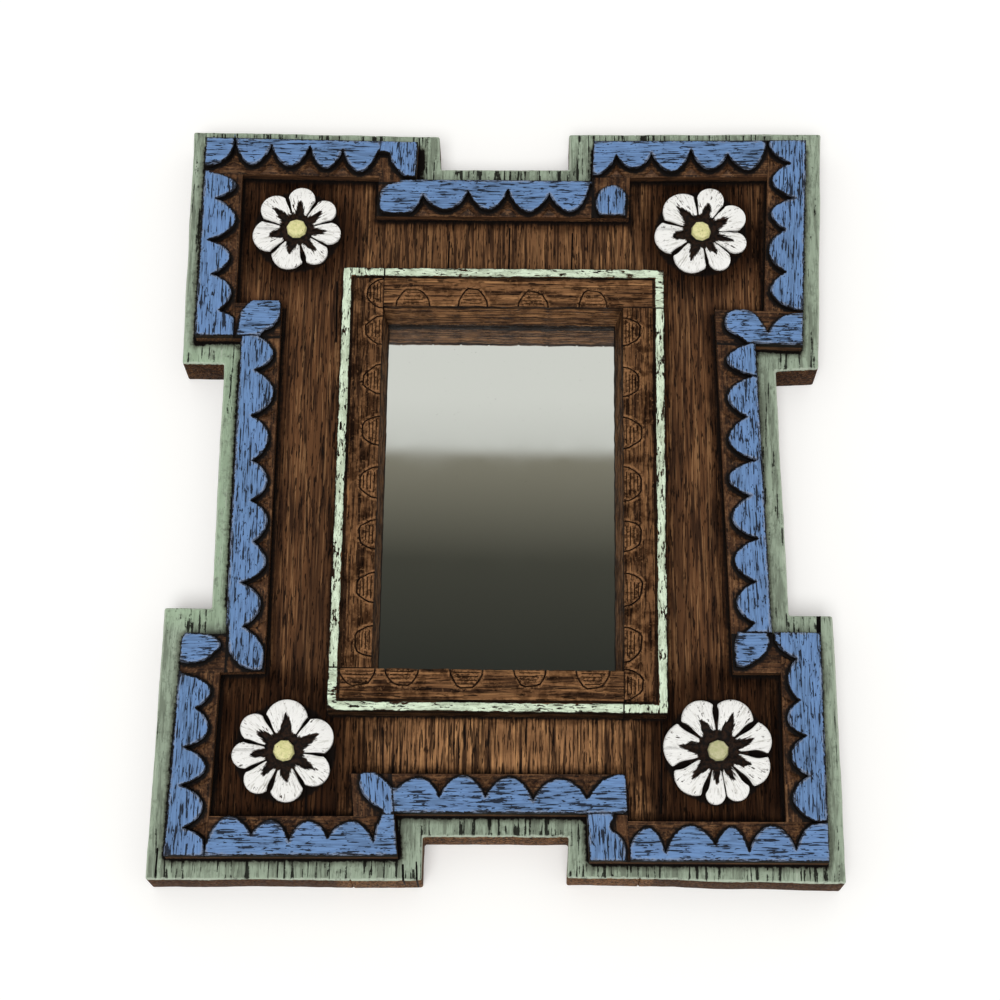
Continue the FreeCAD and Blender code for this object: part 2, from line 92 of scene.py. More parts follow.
# Cusps between the lobes: distance from the strip's outer corner and depth from its outer edge
CUSPS = {
    "tl_top": ((11.6, 0.4), (26.6, 3.0), (42.2, 3.2), (55.6, 4.2), (69.7, 5.0)),
    "top_notch": ((3.1, 6.7), (21.2, 5.2), (37.2, 4.2), (53.8, 5.9), (70.3, 1.5)),
    "tr_top": ((9.0, 6.5), (23.2, 5.6), (39.1, 4.0), (53.9, 6.2), (70.0, 0.4)),
    "tr_right": ((10.7, 6.2), (26.0, 3.8), (40.1, 7.6), (58.5, 7.0), (74.3, 3.5)),
    "waist_right": ((-0.2, 2.2), (13.6, 1.4), (30.6, 5.0), (48.5, 2.4), (62.9, 5.1), (80.1, 3.2), (97.2, 5.0),
                    (113.5, 6.4)),
    "br_right": ((10.0, 9.2), (26.0, 9.0), (39.5, 6.8), (54.5, 6.2), (71.0, 5.5)),
    "br_bottom": ((11.9, 4.4), (29.1, 3.8), (41.2, 6.0), (59.5, 3.0), (72.1, 6.2)),
    "bottom_notch": ((0.0, 5.6), (19.7, 4.7), (37.2, 6.0), (54.2, 5.8), (69.5, 9.2)),
    "bl_bottom": ((8.7, 5.0), (25.4, 6.5), (39.7, 5.2), (53.5, 7.4), (69.8, 4.6)),
    "bl_left": ((10.4, 6.2), (26.2, 3.9), (40.4, 4.2), (55.4, 7.5), (68.6, 0.9)),
    "waist_left": ((2.2, 6.5), (19.4, 4.8), (35.7, 8.8), (52.2, 7.2), (68.5, 6.8), (87.0, 5.6), (106.0, 6.0),
                   (120.1, 7.0)),
    "tl_left": ((10.7, 9.0), (26.2, 5.2), (41.0, 3.0), (59.4, 5.0), (71.2, 2.2))}
# How far the tip of each lobe between two cusps reaches across its strip
TIPS = {
    "tl_top": (12.0, 12.2, 12.8, 14.0), "top_notch": (13.4, 13.2, 14.0, 13.9), "tr_top": (12.4, 13.9, 12.9, 13.1),
    "tr_right": (13.5, 13.5, 14.2, 13.1), "waist_right": (11.8, 12.2, 12.7, 13.5, 12.9, 12.9, 12.8),
    "br_right": (13.1, 13.6, 12.8, 12.6), "br_bottom": (13.3, 12.8, 13.2, 12.4),
    "bottom_notch": (13.0, 13.5, 14.0, 13.3), "bl_bottom": (12.8, 12.9, 13.1, 14.6),
    "bl_left": (13.1, 13.0, 12.9, 12.8), "waist_left": (13.0, 14.1, 13.9, 13.1, 12.9, 14.0, 13.2),
    "tl_left": (13.7, 12.3, 13.8, 13.1)}
# Corner lobes, along and across the strip up to its first cusp
CORNER_LOBES = {
    "tl_top": ((0, 12.4), (2.9, 12.6), (6.0, 11.3), (8.5, 9.5), (10.3, 7.2), (11.2, 4.2)),
    "tr_top": ((0, 15.5), (3.0, 14.6), (5.0, 12.7), (7.0, 10.6), (8.3, 8.4)),
    "tr_right": ((0, 15.0), (3.0, 14.9), (6.0, 13.6), (8.5, 10.4), (10.0, 7.8)),
    "waist_right": (),
    "br_right": ((0, 16.5), (4.5, 16.2), (7.2, 14.4), (9.0, 11.7)),
    "br_bottom": ((0, 14.6), (6.2, 14.0), (8.5, 12.0), (10.5, 8.2)),
    "bl_bottom": ((5.7, 19.0), (5.9, 15.1), (6.7, 13.0), (7.7, 10.9), (8.2, 8.4)),
    "bl_left": ((0, 14.6), (6.5, 14.3), (8.5, 11.8), (9.7, 8.8)),
    "tl_left": ((0, 16.0), (7.5, 15.6), (9.2, 12.7), (10.1, 10.7))}
# Knobs at the first end of the strips beside the notches and waists, as points of the frame
END_KNOBS = {
    "top_notch": ((-42.0, 131.0), (-42.2, 126.8), (-46.9, 125.5), (-49.6, 122.9), (-50.2, 118.5), (-50.2, 115.0),
                  (-49.2, 113.1), (-44.0, 112.6), (-39.1, 112.6), (-37.0, 113.6), (-35.2, 115.4), (-33.8, 117.6)),
    "bottom_notch": ((44.2, -134.0), (44.2, -129.8), (47.0, -128.3), (48.8, -126.8), (49.4, -124.6), (49.6, -121.0),
                     (49.4, -116.7), (48.5, -114.6), (46.4, -113.9), (44.0, -114.0), (41.6, -115.0),
                     (39.2, -116.0), (37.4, -117.8), (35.3, -120.2), (34.5, -122.0)),
    "waist_left": ((-106.0, -58.0), (-101.9, -58.8), (-101.7, -62.7), (-101.4, -65.8), (-101.0, -68.9),
                   (-99.8, -70.9), (-98.3, -72.8), (-96.8, -74.2), (-94.5, -75.2), (-92.3, -76.0), (-89.2, -76.0),
                   (-88.3, -75.2), (-87.9, -71.7), (-87.7, -68.2), (-88.5, -66.2), (-90.0, -64.3),
                   (-91.5, -62.3), (-93.8, -60.8), (-95.3, -59.6))}
# Loose knobs and legs, as closed outlines of the frame
PADS = {
    "tl_leg": ((-56.0, 150.0), (-30.0, 150.0), (-30.0, 128.7), (-37.0, 128.7), (-41.0, 129.3), (-43.0, 131.7),
               (-45.5, 134.5), (-46.6, 137.5), (-47.0, 139.8), (-56.0, 139.8)),
    "tr_knob": ((36.6, 119.1), (37.0, 120.9), (37.7, 122.4), (38.6, 123.7), (40.3, 125.0), (42.7, 126.0),
                (44.1, 126.0), (45.3, 125.5), (46.5, 124.7), (47.9, 123.6), (48.8, 122.4), (49.0, 120.5),
                (48.6, 117.6), (48.4, 114.7), (48.3, 111.6), (47.2, 110.6), (41.3, 110.7), (39.7, 111.2),
                (38.2, 112.5), (37.0, 114.2), (36.5, 116.9)),
    "tr_side": ((130.0, 50.0), (130.0, 71.0), (118.0, 70.9), (114.2, 70.7), (111.7, 70.3), (109.6, 69.3),
                (107.8, 68.0), (106.0, 65.7), (104.9, 63.7), (104.1, 62.2), (103.2, 64.2), (101.8, 66.8),
                (100.7, 68.8), (99.3, 70.3), (97.5, 71.5), (95.4, 72.2), (92.5, 72.2), (90.0, 71.9), (88.2, 70.7),
                (87.3, 68.4), (87.1, 65.7), (87.9, 63.7), (89.3, 62.4), (91.8, 61.2), (93.6, 59.9), (95.4, 58.3),
                (96.4, 57.6), (96.4, 50.0)),
    "br_side_knob": ((90.0, -55.0), (89.6, -60.6), (88.8, -62.5), (88.5, -67.0), (88.7, -71.4), (89.3, -72.7),
                     (92.0, -72.9), (93.6, -72.5), (95.2, -71.3), (97.0, -70.2), (98.6, -69.0), (100.0, -67.6),
                     (101.0, -65.8), (101.6, -63.9), (101.7, -62.0), (101.0, -60.3), (100.8, -55.0)),
    "br_leg": ((34.0, -152.0), (47.6, -152.0), (47.6, -142.0), (47.3, -139.4), (45.8, -137.3), (44.0, -135.5),
               (42.2, -134.6), (42.0, -133.4), (42.4, -132.0), (43.4, -130.5), (43.4, -120.0), (30.0, -120.0),
               (32.6, -128.3)),
    "bl_knob": ((-50.2, -114.6), (-47.4, -114.0), (-45.2, -114.1), (-42.5, -115.8), (-39.7, -118.2),
                (-37.8, -120.9), (-37.3, -123.6), (-34.0, -124.0), (-34.0, -136.0), (-44.6, -136.0),
                (-44.0, -133.0), (-43.2, -130.9), (-41.5, -129.6), (-42.0, -128.0), (-45.0, -126.6),
                (-47.5, -124.2), (-49.6, -121.8), (-50.6, -118.0)),
    "bl_side": ((-118.0, -61.8), (-115.8, -61.4), (-112.0, -61.8), (-108.2, -62.5), (-105.9, -63.7),
                (-104.4, -65.3), (-104.2, -67.2), (-105.5, -68.6), (-107.0, -70.1), (-109.3, -72.1),
                (-112.0, -73.3), (-115.8, -73.6), (-118.9, -73.2), (-119.9, -71.7), (-119.9, -68.6),
                (-119.4, -64.5)),
    "tl_side_knob": ((-99.2, 74.4), (-98.3, 75.5), (-96.7, 75.7), (-94.7, 75.3), (-92.2, 75.2), (-89.1, 75.1),
                     (-87.9, 74.4), (-87.5, 72.8), (-87.5, 68.7), (-87.8, 67.0), (-88.5, 65.7), (-89.6, 64.8),
                     (-90.3, 63.2), (-91.9, 62.3), (-93.7, 61.5), (-95.2, 60.2), (-95.4, 55.0), (-106.0, 55.0),
                     (-104.3, 62.0), (-104.1, 64.4), (-103.6, 68.5), (-103.0, 70.1), (-102.0, 72.0),
                     (-100.5, 73.2))}
# Paint of a neighbour's lobe that runs on over the end of a strip
BESIDE = {"br_side_knob": [((103.5, -55.0), (111.0, -55.0), (111.0, -66.4), (106.2, -66.5), (104.8, -64.7),
                            (103.5, -62.9))]}
LAST_RISE = {"waist_right": (117.0, 10.5)}

# Inner moulding
MOULDING_WIDTH, MOULDING_TOP, LEG_THICKNESS, GLASS_TOP = 16.0, 27.0, 5.5, 6.5
FRAME_X, FRAME_TOP, FRAME_BOTTOM = 63.3, 88.2, -91.2
LONG_LENGTH, SHORT_LENGTH = 163.36, 110.58
FILLET, GROOVE, GROOVE_DEPTH = 3.4, 1.1, 1.3
LUNETTE_WIDTH, LUNETTE_REACH, INCISION, INCISION_DEPTH = 13.4, 6.9, 0.72, 0.8
LUNETTE = ((0.0, 0.0), (0.04, 0.3), (0.13, 0.6), (0.23, 0.88), (0.35, 1.0), (0.68, 1.0), (0.79, 0.88),
           (0.9, 0.58), (0.97, 0.28), (1.0, 0.0))
# Share of dark wax on the strips of the moulding
SOILED = {"left": 0.5, "right": 0.5, "bottom": 0.22, "top": 0.0}
# How far the foot of each sight wall stands inside its arris
WALL_SLOPE = {"left": 1.2, "bottom": 0.3, "right": 2.6, "top": 0.4}
# Cracks and open seams of the boards: two ends in the frame and half the width
CRACKS = {
    "board_left": ((-66.5, 86.0, -66.0, 60.0, 0.18), (-124.5, -142.0, -124.8, -152.0, 0.2),
                   (-71.0, -92.0, -70.5, -127.0, 0.18)),
    "board_right": ((61.5, -92.5, 61.0, -127.0, 0.2), (121.4, -49.5, 121.2, -59.5, 0.7),
                    (71.0, 102.0, 71.3, 80.0, 0.16)),
    "board_top": ((27.5, 108.0, 27.0, 89.0, 0.18), (2.2, 110.0, 2.0, 90.0, 0.18), (-22.0, 104.0, -22.3, 92.0, 0.18)),
    "board_bottom": ((-34.0, -147.0, -33.6, -155.0, 0.25), (-29.0, -146.0, -28.6, -156.0, 0.2))}

CRACK_DEPTH = 0.9
EDGE_WAVE, EDGE_RIPPLE = 0.4, 0.14
# Pocket of the hanger: half its width, its play, and the deeper hollow behind it
HANGER_HALF, HANGER_PLAY = 24.2, 0.2
HANGER_HOLLOW, HOLLOW_DEPTH = ((-14, 112), (14, 112), (14, 96), (-14, 96)), 8

PETAL_TOP, CORE_TOP, GOUGE_FLOOR, DOME_FROM = 22.0, 19.4, 19.9, 19.0
BUTTON = dict(segments=9, radius1=4.3, radius2=3.7, depth=3.2)
BUTTON_MIDDLE, BUTTON_ARRIS, BUTTON_WEAR = 20.8, 0.7, 0.35
# Part of the radius that a flower's dark line keeps clear of, and how far its stain reaches in the lower two
FLOWER_FOOT, STAIN_SPREAD = 0.93, 6.0
# Flowers: middle, radius, direction of each gap in degrees and half its width
FLOWERS = {
    "tl": ((-83.3, 107.7), 18.0, (13, 57, 108, 165, 227, 284, 329), (0.8, 0.8, 0.8, 0.8, 0.9, 1.1, 0.7)),
    "tr": ((78.9, 108.2), 19.0, (49, 98, 165, 222, 279, 319, 358), (0.7, 0.7, 0.9, 1.1, 0.7, 0.7, 0.7)),
    "bl": ((-79.3, -105.5), 19.5, (54, 120, 166, 209, 252, 301, 354), (0.8, 0.9, 0.8, 0.9, 1.1, 0.8, 0.8)),
    "br": ((82.2, -103.6), 20.5, (38, 93, 144, 203, 251, 279, 312, 355),
           (1.2, 1.2, 1.2, 1.4, 1.1, 0.3, 1.2, 1.6))}

# Stage
LENS, SENSOR = 82.8, 36.0
CAMERA = ((0.99987, -0.00956, 0.01326, 0.01160), (0.0133, 0.94766, -0.319, -0.28901),
          (-0.00952, 0.31914, 0.94766, 0.86065), (0, 0, 0, 1))
SUN_STRENGTH, SUN_SPREAD, SUN_DIRECTION = 1.55, 28, (0.08, 0.5, -1.0)
TABLE_HALF, TABLE_GLOW = 3.0, 0.24


class MirrorSizes(bpy.types.PropertyGroup):
    arris: bpy.props.FloatProperty(
        name="Strip arris", description="Rounding of the strips' top edges", default=0.0004, unit="LENGTH")
    board_arris: bpy.props.FloatProperty(
        name="Board arris", description="Rounding of the boards' outer edges", default=0.0008, unit="LENGTH")
    ridge: bpy.props.FloatProperty(
        name="Chip ridge", description="Rise of the cut floor between two lobes", default=0.0012, unit="LENGTH")
    petal_round: bpy.props.FloatProperty(
        name="Petal round", description="Rounding of the petals' edges", default=0.0012, unit="LENGTH")


def colour_property(name, description, default):
    return bpy.props.FloatVectorProperty(
        name=name, description=description, default=default, size=3, subtype="COLOR", min=0.0, max=1.0)


class MirrorColours(bpy.types.PropertyGroup):
    wood: colour_property("Wood", "Stained wood of the boards", (0.132, 0.059, 0.026))
    wood_dark: colour_property("Dark stain", "Antique stain over the wood", (0.030, 0.0145, 0.0085))
    wood_black: colour_property("Black stain", "Stain in cuts, pores and corners", (0.0060, 0.0045, 0.0040))
    wood_light: colour_property("Worn wood", "Wood where the stain is thin", (0.265, 0.135, 0.060))
    stain: colour_property("Stain tint", "Multiplies the wood near the carving", (0.27, 0.235, 0.22))
    rail: colour_property("Bottom rail", "Warmer wood below the opening", (0.360, 0.180, 0.080))
    rail_light: colour_property("Bottom rail light", "Fibres of the warmer wood", (0.580, 0.300, 0.125))
    mint_fresh: colour_property("Fresh mint", "Brighter paint at the left waist", (0.400, 0.540, 0.370))
    mint: colour_property("Ledge mint", "Washed paint on the outer ledge", (0.355, 0.435, 0.330))
    mint_dark: colour_property("Dark mint", "Thin wash on the ledge", (0.200, 0.238, 0.180))
    mint_worn: colour_property("Worn mint", "Lighter paint along the board's arris", (0.520, 0.590, 0.480))
    fillet: colour_property("Fillet mint", "Pale paint on the moulding's fillet", (0.760, 0.890, 0.690))
    fillet_dark: colour_property("Thin fillet mint", "Thin paint on the fillet", (0.480, 0.560, 0.410))
    blue: colour_property("Blue", "Paint of the scalloped strips", (0.135, 0.238, 0.455))
    blue_deep: colour_property("Deep blue", "Thinner, darker blue", (0.100, 0.175, 0.320))
    blue_bright: colour_property("Bright blue", "Thick blue", (0.175, 0.320, 0.600))
    blue_worn: colour_property("Worn blue", "Greyer blue where it is rubbed", (0.240, 0.290, 0.400))
    streak: colour_property("Streaks", "Dark wood between the brush marks", (0.0085, 0.010, 0.0150))
    white: colour_property("White", "Paint of the petals", (0.925, 0.92, 0.895))
    white_thin: colour_property("Thin white", "Thin paint of the petals", (0.62, 0.61, 0.57))
    white_rubbed: colour_property("Rubbed white", "Scratches in the petals' paint", (0.26, 0.24, 0.21))
    yellow: colour_property("Yellow", "Paint of the buttons", (0.80, 0.745, 0.38))
    yellow_dull: colour_property("Dull yellow", "Paint of the bottom right button", (0.56, 0.53, 0.31))


# Outlines
def stepped_corners(side, end, notch_x, notch_floor, waist, shoulder, shifts):
    """Corners of the stepped outline, clockwise from the top left, with their hand-cut shifts."""
    quarter = [(notch_x, notch_floor), (notch_x, end), (side, end), (side, shoulder), (waist, shoulder)]
    right = quarter + [(x, -y) for x, y in reversed(quarter)]
    clockwise = right + [(-x, y) for x, y in reversed(right)]
    from_top_left = clockwise[-3:] + clockwise[:-3]
    return [(x + dx, y + dy) for (x, y), (dx, dy) in zip(from_top_left, shifts)]


def placer(corner, along, inward):
    """Turns distances along and across a piece into a point of the frame."""
    def place(u, v):
        return (corner[0] + u * along[0] + v * inward[0], corner[1] + u * along[1] + v * inward[1])
    return place


def edge_line(corners, index, offset):
    """Point, direction and inward normal of an edge of an outline, moved inward by the offset."""
    start, goal = corners[index % len(corners)], corners[(index + 1) % len(corners)]
    length = math.dist(start, goal)
    along = ((goal[0] - start[0]) / length, (goal[1] - start[1]) / length)
    inward = (along[1], -along[0])
    return (start[0] + offset * inward[0], start[1] + offset * inward[1]), along, inward


def meeting(first, second):
    """Crossing of two lines."""
    (start, along, _), (other, _, normal) = first, second
    gap = (other[0] - start[0]) * normal[0] + (other[1] - start[1]) * normal[1]
    reach = gap / (along[0] * normal[0] + along[1] * normal[1])
    return (start[0] + reach * along[0], start[1] + reach * along[1])


def arc(start, middle, goal, steps=8):
    """Points of the arc through three points, with its ends."""
    ax, ay, bx, by, cx, cy = *start, *middle, *goal
    d = 2 * (ax * (by - cy) + bx * (cy - ay) + cx * (ay - by))
    if abs(d) < 1e-9:
        return [start, middle, goal]
    a, b, c = ax * ax + ay * ay, bx * bx + by * by, cx * cx + cy * cy
    ux = (a * (by - cy) + b * (cy - ay) + c * (ay - by)) / d
    uy = (a * (cx - bx) + b * (ax - cx) + c * (bx - ax)) / d
    radius = math.dist((ux, uy), start)
    first = math.atan2(ay - uy, ax - ux)
    half = (math.atan2(by - uy, bx - ux) - first + math.pi) % (2 * math.pi) - math.pi
    whole = (math.atan2(cy - uy, cx - ux) - first) % (2 * math.pi)
    if half < 0:
        whole -= 2 * math.pi
    turns = [first + whole * i / steps for i in range(steps + 1)]
    return [(ux + radius * math.cos(turn), uy + radius * math.sin(turn)) for turn in turns]


def closed(points):
    """Edges of a closed outline as pairs of points."""
    return list(zip(points, points[1:] + points[:1]))


def nearest(spots, edges):
    """Distance of each spot to the nearest of the edges."""
    best = np.full(len(spots), 1e9)
    for (ax, ay), (bx, by) in edges:
        dx, dy = bx - ax, by - ay
        share = ((spots[:, 0] - ax) * dx + (spots[:, 1] - ay) * dy) / max(dx * dx + dy * dy, 1e-9)
        share = np.clip(share, 0.0, 1.0)
        best = np.minimum(best, np.hypot(spots[:, 0] - ax - share * dx, spots[:, 1] - ay - share * dy))
    return best


def within(spots, corners):
    """Which of the spots lie inside a closed outline."""
    found = np.zeros(len(spots), bool)
    x, y = spots[:, 0], spots[:, 1]
    for (ax, ay), (bx, by) in closed(corners):
        if ay != by:
            found ^= ((ay > y) != (by > y)) & (x < (bx - ax) * (y - ay) / (by - ay) + ax)
    return found


def depth_in(spots, corners):
    """Distance to an outline, positive inside it."""
    return np.where(within(spots, corners), 1.0, -1.0) * nearest(spots, closed(corners))


def cut_corners(points):
    """One round of corner cutting on a closed outline."""
    result = []
    for (ax, ay), (bx, by) in closed(points):
        result += [(0.78 * ax + 0.22 * bx, 0.78 * ay + 0.22 * by),
                   (0.22 * ax + 0.78 * bx, 0.22 * ay + 0.78 * by)]
    return result


BOARD_CORNERS = stepped_corners(shifts=BOARD_SHIFTS, **BOARD_STEPS)
STRIP_CORNERS = stepped_corners(shifts=STRIP_SHIFTS, **STRIP_STEPS)
FIELD_CORNERS = [meeting(edge_line(STRIP_CORNERS, i - 1, STRIP_WIDTH), edge_line(STRIP_CORNERS, i, STRIP_WIDTH))
                 for i in range(len(STRIP_CORNERS))]


# Solids
def prism(points, low, high):
    """Solid with the given outline between two heights."""
    shape = bmesh.new()
    face = shape.faces.new([shape.verts.new((x, y, low)) for x, y in points])
    raised = bmesh.ops.extrude_face_region(shape, geom=[face])
    bmesh.ops.translate(shape, vec=(0, 0, high - low),
                        verts=[part for part in raised["geom"] if isinstance(part, bmesh.types.BMVert)])
    bmesh.ops.recalc_face_normals(shape, faces=shape.faces)
    return shape


def slab(place, u0, u1, v0, v1, low, high):
    return prism([place(u0, v0), place(u1, v0), place(u1, v1), place(u0, v1)], low, high)


def linked(shape):
    """Temporary object with the shape's mesh."""
    mesh = bpy.data.meshes.new("step")
    shape.to_mesh(mesh)
    shape.free()
    item = bpy.data.objects.new("step", mesh)
    bpy.context.scene.collection.objects.link(item)
    return item


def extent(shape):
    spots = np.array([vert.co for vert in shape.verts])
    return np.concatenate((spots.min(axis=0), spots.max(axis=0)))


def cut_away(base, tools):
    """Base with the tools cut away. A cut that comes out open or short is made again, a hair aside."""
    whole = extent(base)
    block, *cutters = [linked(shape) for shape in [base] + tools]
    for cutter in cutters:
        step = block.modifiers.new("step", "BOOLEAN")
        step.object, step.operation, step.solver = cutter, "DIFFERENCE", "EXACT"
    for attempt in range(CUT_ATTEMPTS):
        for cutter in cutters:
            cutter.location = Vector(CUT_NUDGE) * attempt
        bpy.context.view_layer.update()
        result = bpy.data.meshes.new_from_object(block.evaluated_get(bpy.context.evaluated_depsgraph_get()))
        shape = bmesh.new()
        shape.from_mesh(result)
        bpy.data.meshes.remove(result)
        bmesh.ops.remove_doubles(shape, verts=shape.verts, dist=MERGE_DISTANCE)
        bmesh.ops.dissolve_degenerate(shape, dist=MERGE_DISTANCE, edges=shape.edges)
        if (shape.verts and np.allclose(extent(shape), whole, atol=0.01)
                and all(len(edge.link_faces) == 2 for edge in shape.edges)):
            break
        shape.free()
    else:
        raise RuntimeError("A cut stayed open or short")
    for item in [block] + cutters:
        mesh = item.data
        bpy.data.objects.remove(item)
        bpy.data.meshes.remove(mesh)
    return shape


def soften(shape, width, keep, segments=2):
    """Rounds the edges that pass the test."""
    edges = [edge for edge in shape.edges if len(edge.link_faces) == 2 and keep(edge)]
    bmesh.ops.bevel(shape, geom=edges, offset=width, offset_type="OFFSET", segments=segments, profile=0.5,
                    affect="EDGES", material=-1, clamp_overlap=True)


def sharp(edge, degrees=35):
    return edge.calc_face_angle(0.0) > math.radians(degrees)


def is_top_arris(edge, height):
    return sharp(edge) and all(abs(vert.co.z - height) < 0.02 for vert in edge.verts)


def grid_cuts(shape, step_x, step_y):
    """Cuts the faces along an even grid, so that stain, wear and painted shade can vary across them."""
    for axis, step in ((0, step_x), (1, step_y)):
        values = [vert.co[axis] for vert in shape.verts]
        count = int((max(values) - min(values)) / step)
        normal = (1, 0, 0) if axis == 0 else (0, 1, 0)
        for index in range(1, count):
            place = [0, 0, 0]
            place[axis] = min(values) + index * (max(values) - min(values)) / count
            bmesh.ops.bisect_plane(shape, geom=shape.verts[:] + shape.edges[:] + shape.faces[:],
                                   plane_co=place, plane_no=normal, dist=0.01)


def finished(shape, name, nodes, material, masks=None, along=None):
    """Makes the piece's object in metres, with its masks, and hangs it in the frame."""
    bmesh.ops.triangulate(shape, faces=[face for face in shape.faces if len(face.verts) > 4])
    mesh = bpy.data.meshes.new(name)
    shape.to_mesh(mesh)
    shape.free()
    spots = np.empty(3 * len(mesh.vertices))
    mesh.vertices.foreach_get("co", spots)
    spots = spots.reshape(-1, 3)
    for key, rule in (masks or {}).items():
        mesh.attributes.new(key, "FLOAT", "POINT").data.foreach_set("value", rule(spots))
    if along:
        way = mesh.attributes.new("along", "FLOAT_VECTOR", "POINT")
        way.data.foreach_set("vector", along(spots).ravel() * MM)
    mesh.vertices.foreach_set("co", spots.ravel() * MM)
    mesh.shade_smooth()
    mesh.set_sharp_from_angle(angle=math.radians(SMOOTH_DEGREES))
    mesh.materials.append(material)
    piece = bpy.data.objects.new(name, mesh)
    bpy.context.scene.collection.objects.link(piece)
    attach(piece, "root")
    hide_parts(*nodes)
    return piece


def beside(first, along, inward, shift):
    """Rule that turns points of the frame into distances along and across a piece."""
    def rule(spots):
        x, y = spots[:, 0] - first[0], spots[:, 1] - first[1]
        return np.column_stack((x * along[0] + y * along[1] + 60 * shift,
                                x * inward[0] + y * inward[1] + 35 * shift, spots[:, 2]))
    return rule


# Materials
class Finish:
    """A material's node tree, with short ways to add to it."""

    def __init__(self, name):
        self.material = bpy.data.materials.new(name)
        self.material.use_nodes = True
        self.tree = self.material.node_tree
        self.tree.nodes.clear()

    def node(self, kind, inputs=(), **settings):
        node = self.tree.nodes.new("ShaderNode" + kind)
        for key, value in settings.items():
            setattr(node, key, value)
        for key, value in dict(inputs).items():
            if isinstance(value, bpy.types.NodeSocket):
                self.tree.links.new(value, node.inputs[key])
            else:
                node.inputs[key].default_value = value
        return node

    def place(self):
        return self.node("TexCoord").outputs["Object"]

    def mask(self, name):
        return self.node("Attribute", attribute_name=name).outputs["Fac"]

    def way(self):
        return self.node("Attribute", attribute_name="along").outputs["Vector"]

    def stretched(self, vector, scale, location=(0, 0, 0)):
        return self.node("Mapping", {"Vector": vector, "Scale": scale, "Location": location}).outputs[0]

    def clouds(self, vector, scale, detail=4.0, roughness=0.55, distortion=0.0):
        return self.node("TexNoise", {"Vector": vector, "Scale": scale, "Detail": detail,
                                      "Roughness": roughness, "Distortion": distortion}).outputs["Fac"]

    def band(self, value, low, high, to_low=0.0, to_high=1.0):
        """Smooth step of the value between two bounds."""
        return self.node("MapRange", {"Value": value, "From Min": low, "From Max": high, "To Min": to_low,
                                      "To Max": to_high}, interpolation_type="SMOOTHSTEP").outputs[0]

    def math(self, operation, *values):
        return self.node("Math", dict(enumerate(values)), operation=operation).outputs[0]

    def times(self, *values):
        return self.math("MULTIPLY", *values)

    def plus(self, *values):
        return self.math("ADD", *values)

    def less(self, *values):
        return self.math("SUBTRACT", *values)

    def swing(self, pattern, amount):
        """The pattern about zero, at the given strength."""
        return self.times(self.less(pattern, 0.5), amount)

    def ragged(self, value, pattern, amount):
        """The value with the pattern added, so that its bounds come out uneven."""
        return self.plus(value, self.swing(pattern, amount))

    def mix(self, share, first, second, blend="MIX"):
        node = self.node("Mix", {0: share}, data_type="RGBA", blend_type=blend)
        for index, value in ((6, first), (7, second)):
            if isinstance(value, bpy.types.NodeSocket):
                self.tree.links.new(value, node.inputs[index])
            else:
                node.inputs[index].default_value = (*value[:3], 1.0)
        return node.outputs[2]

    def height(self):
        return self.node("SeparateXYZ", {0: self.place()}).outputs[2]

    def done(self, colour, roughness, bump=None, distance=0.0002, **shader):
        inputs = {"Base Color": colour if isinstance(colour, bpy.types.NodeSocket) else (*colour, 1.0),
                  "Roughness": roughness}
        if bump is not None:
            inputs["Normal"] = self.node("Bump", {"Height": bump, "Distance": distance,
                                                  "Strength": 1.0}).outputs[0]
        inputs.update({key.replace("_", " "): value for key, value in shader.items()})
        principled = self.node("BsdfPrincipled", inputs)
        self.node("OutputMaterial", {"Surface": principled.outputs[0]})
        return self.material


def wood_layers(finish, vector, colours, lift=None):
    """Colour and height of open-pored stained wood, its grain along the vector's second axis."""
    bands = finish.clouds(finish.stretched(vector, (1, 0.05, 1)), 110, 4, 0.6, 0.6)
    fibres = finish.clouds(finish.stretched(vector, (1, 0.035, 1)), 950, 4, 0.62, 0.1)
    pores = finish.band(finish.clouds(finish.stretched(vector, (1, 0.10, 1)), 1700, 2, 0.5), 0.60, 0.65)
    threads = finish.band(finish.clouds(finish.stretched(vector, (1, 0.03, 1), (0.3, 0.1, 0)), 1200, 2, 0.5),
                          0.54, 0.62)
    veins = finish.band(finish.clouds(finish.stretched(vector, (1, 0.04, 1), (0.1, 0.4, 0)), 520, 3, 0.6, 0.1),
                        0.60, 0.66)
    colour = finish.mix(finish.band(bands, 0.25, 0.65, 0.35, 1.0), colours.wood_dark, colours.wood)
    light = colours.wood_light
    if lift is not None:
        colour = finish.mix(lift, colour, colours.rail)
        light = finish.mix(lift, light, colours.rail_light)
    colour = finish.mix(finish.times(threads, finish.band(bands, 0.3, 0.6, 0.35, 0.9)), colour, light)
    colour = finish.mix(finish.band(fibres, 0.40, 0.55, 0.08, 1.0), colours.wood_dark, colour)
    colour = finish.mix(finish.times(veins, 0.7), colour, colours.wood_dark)
    colour = finish.mix(finish.times(pores, 0.85), colour, colours.wood_black)
    relief = finish.less(finish.times(fibres, 0.8), pores)
    return colour, relief


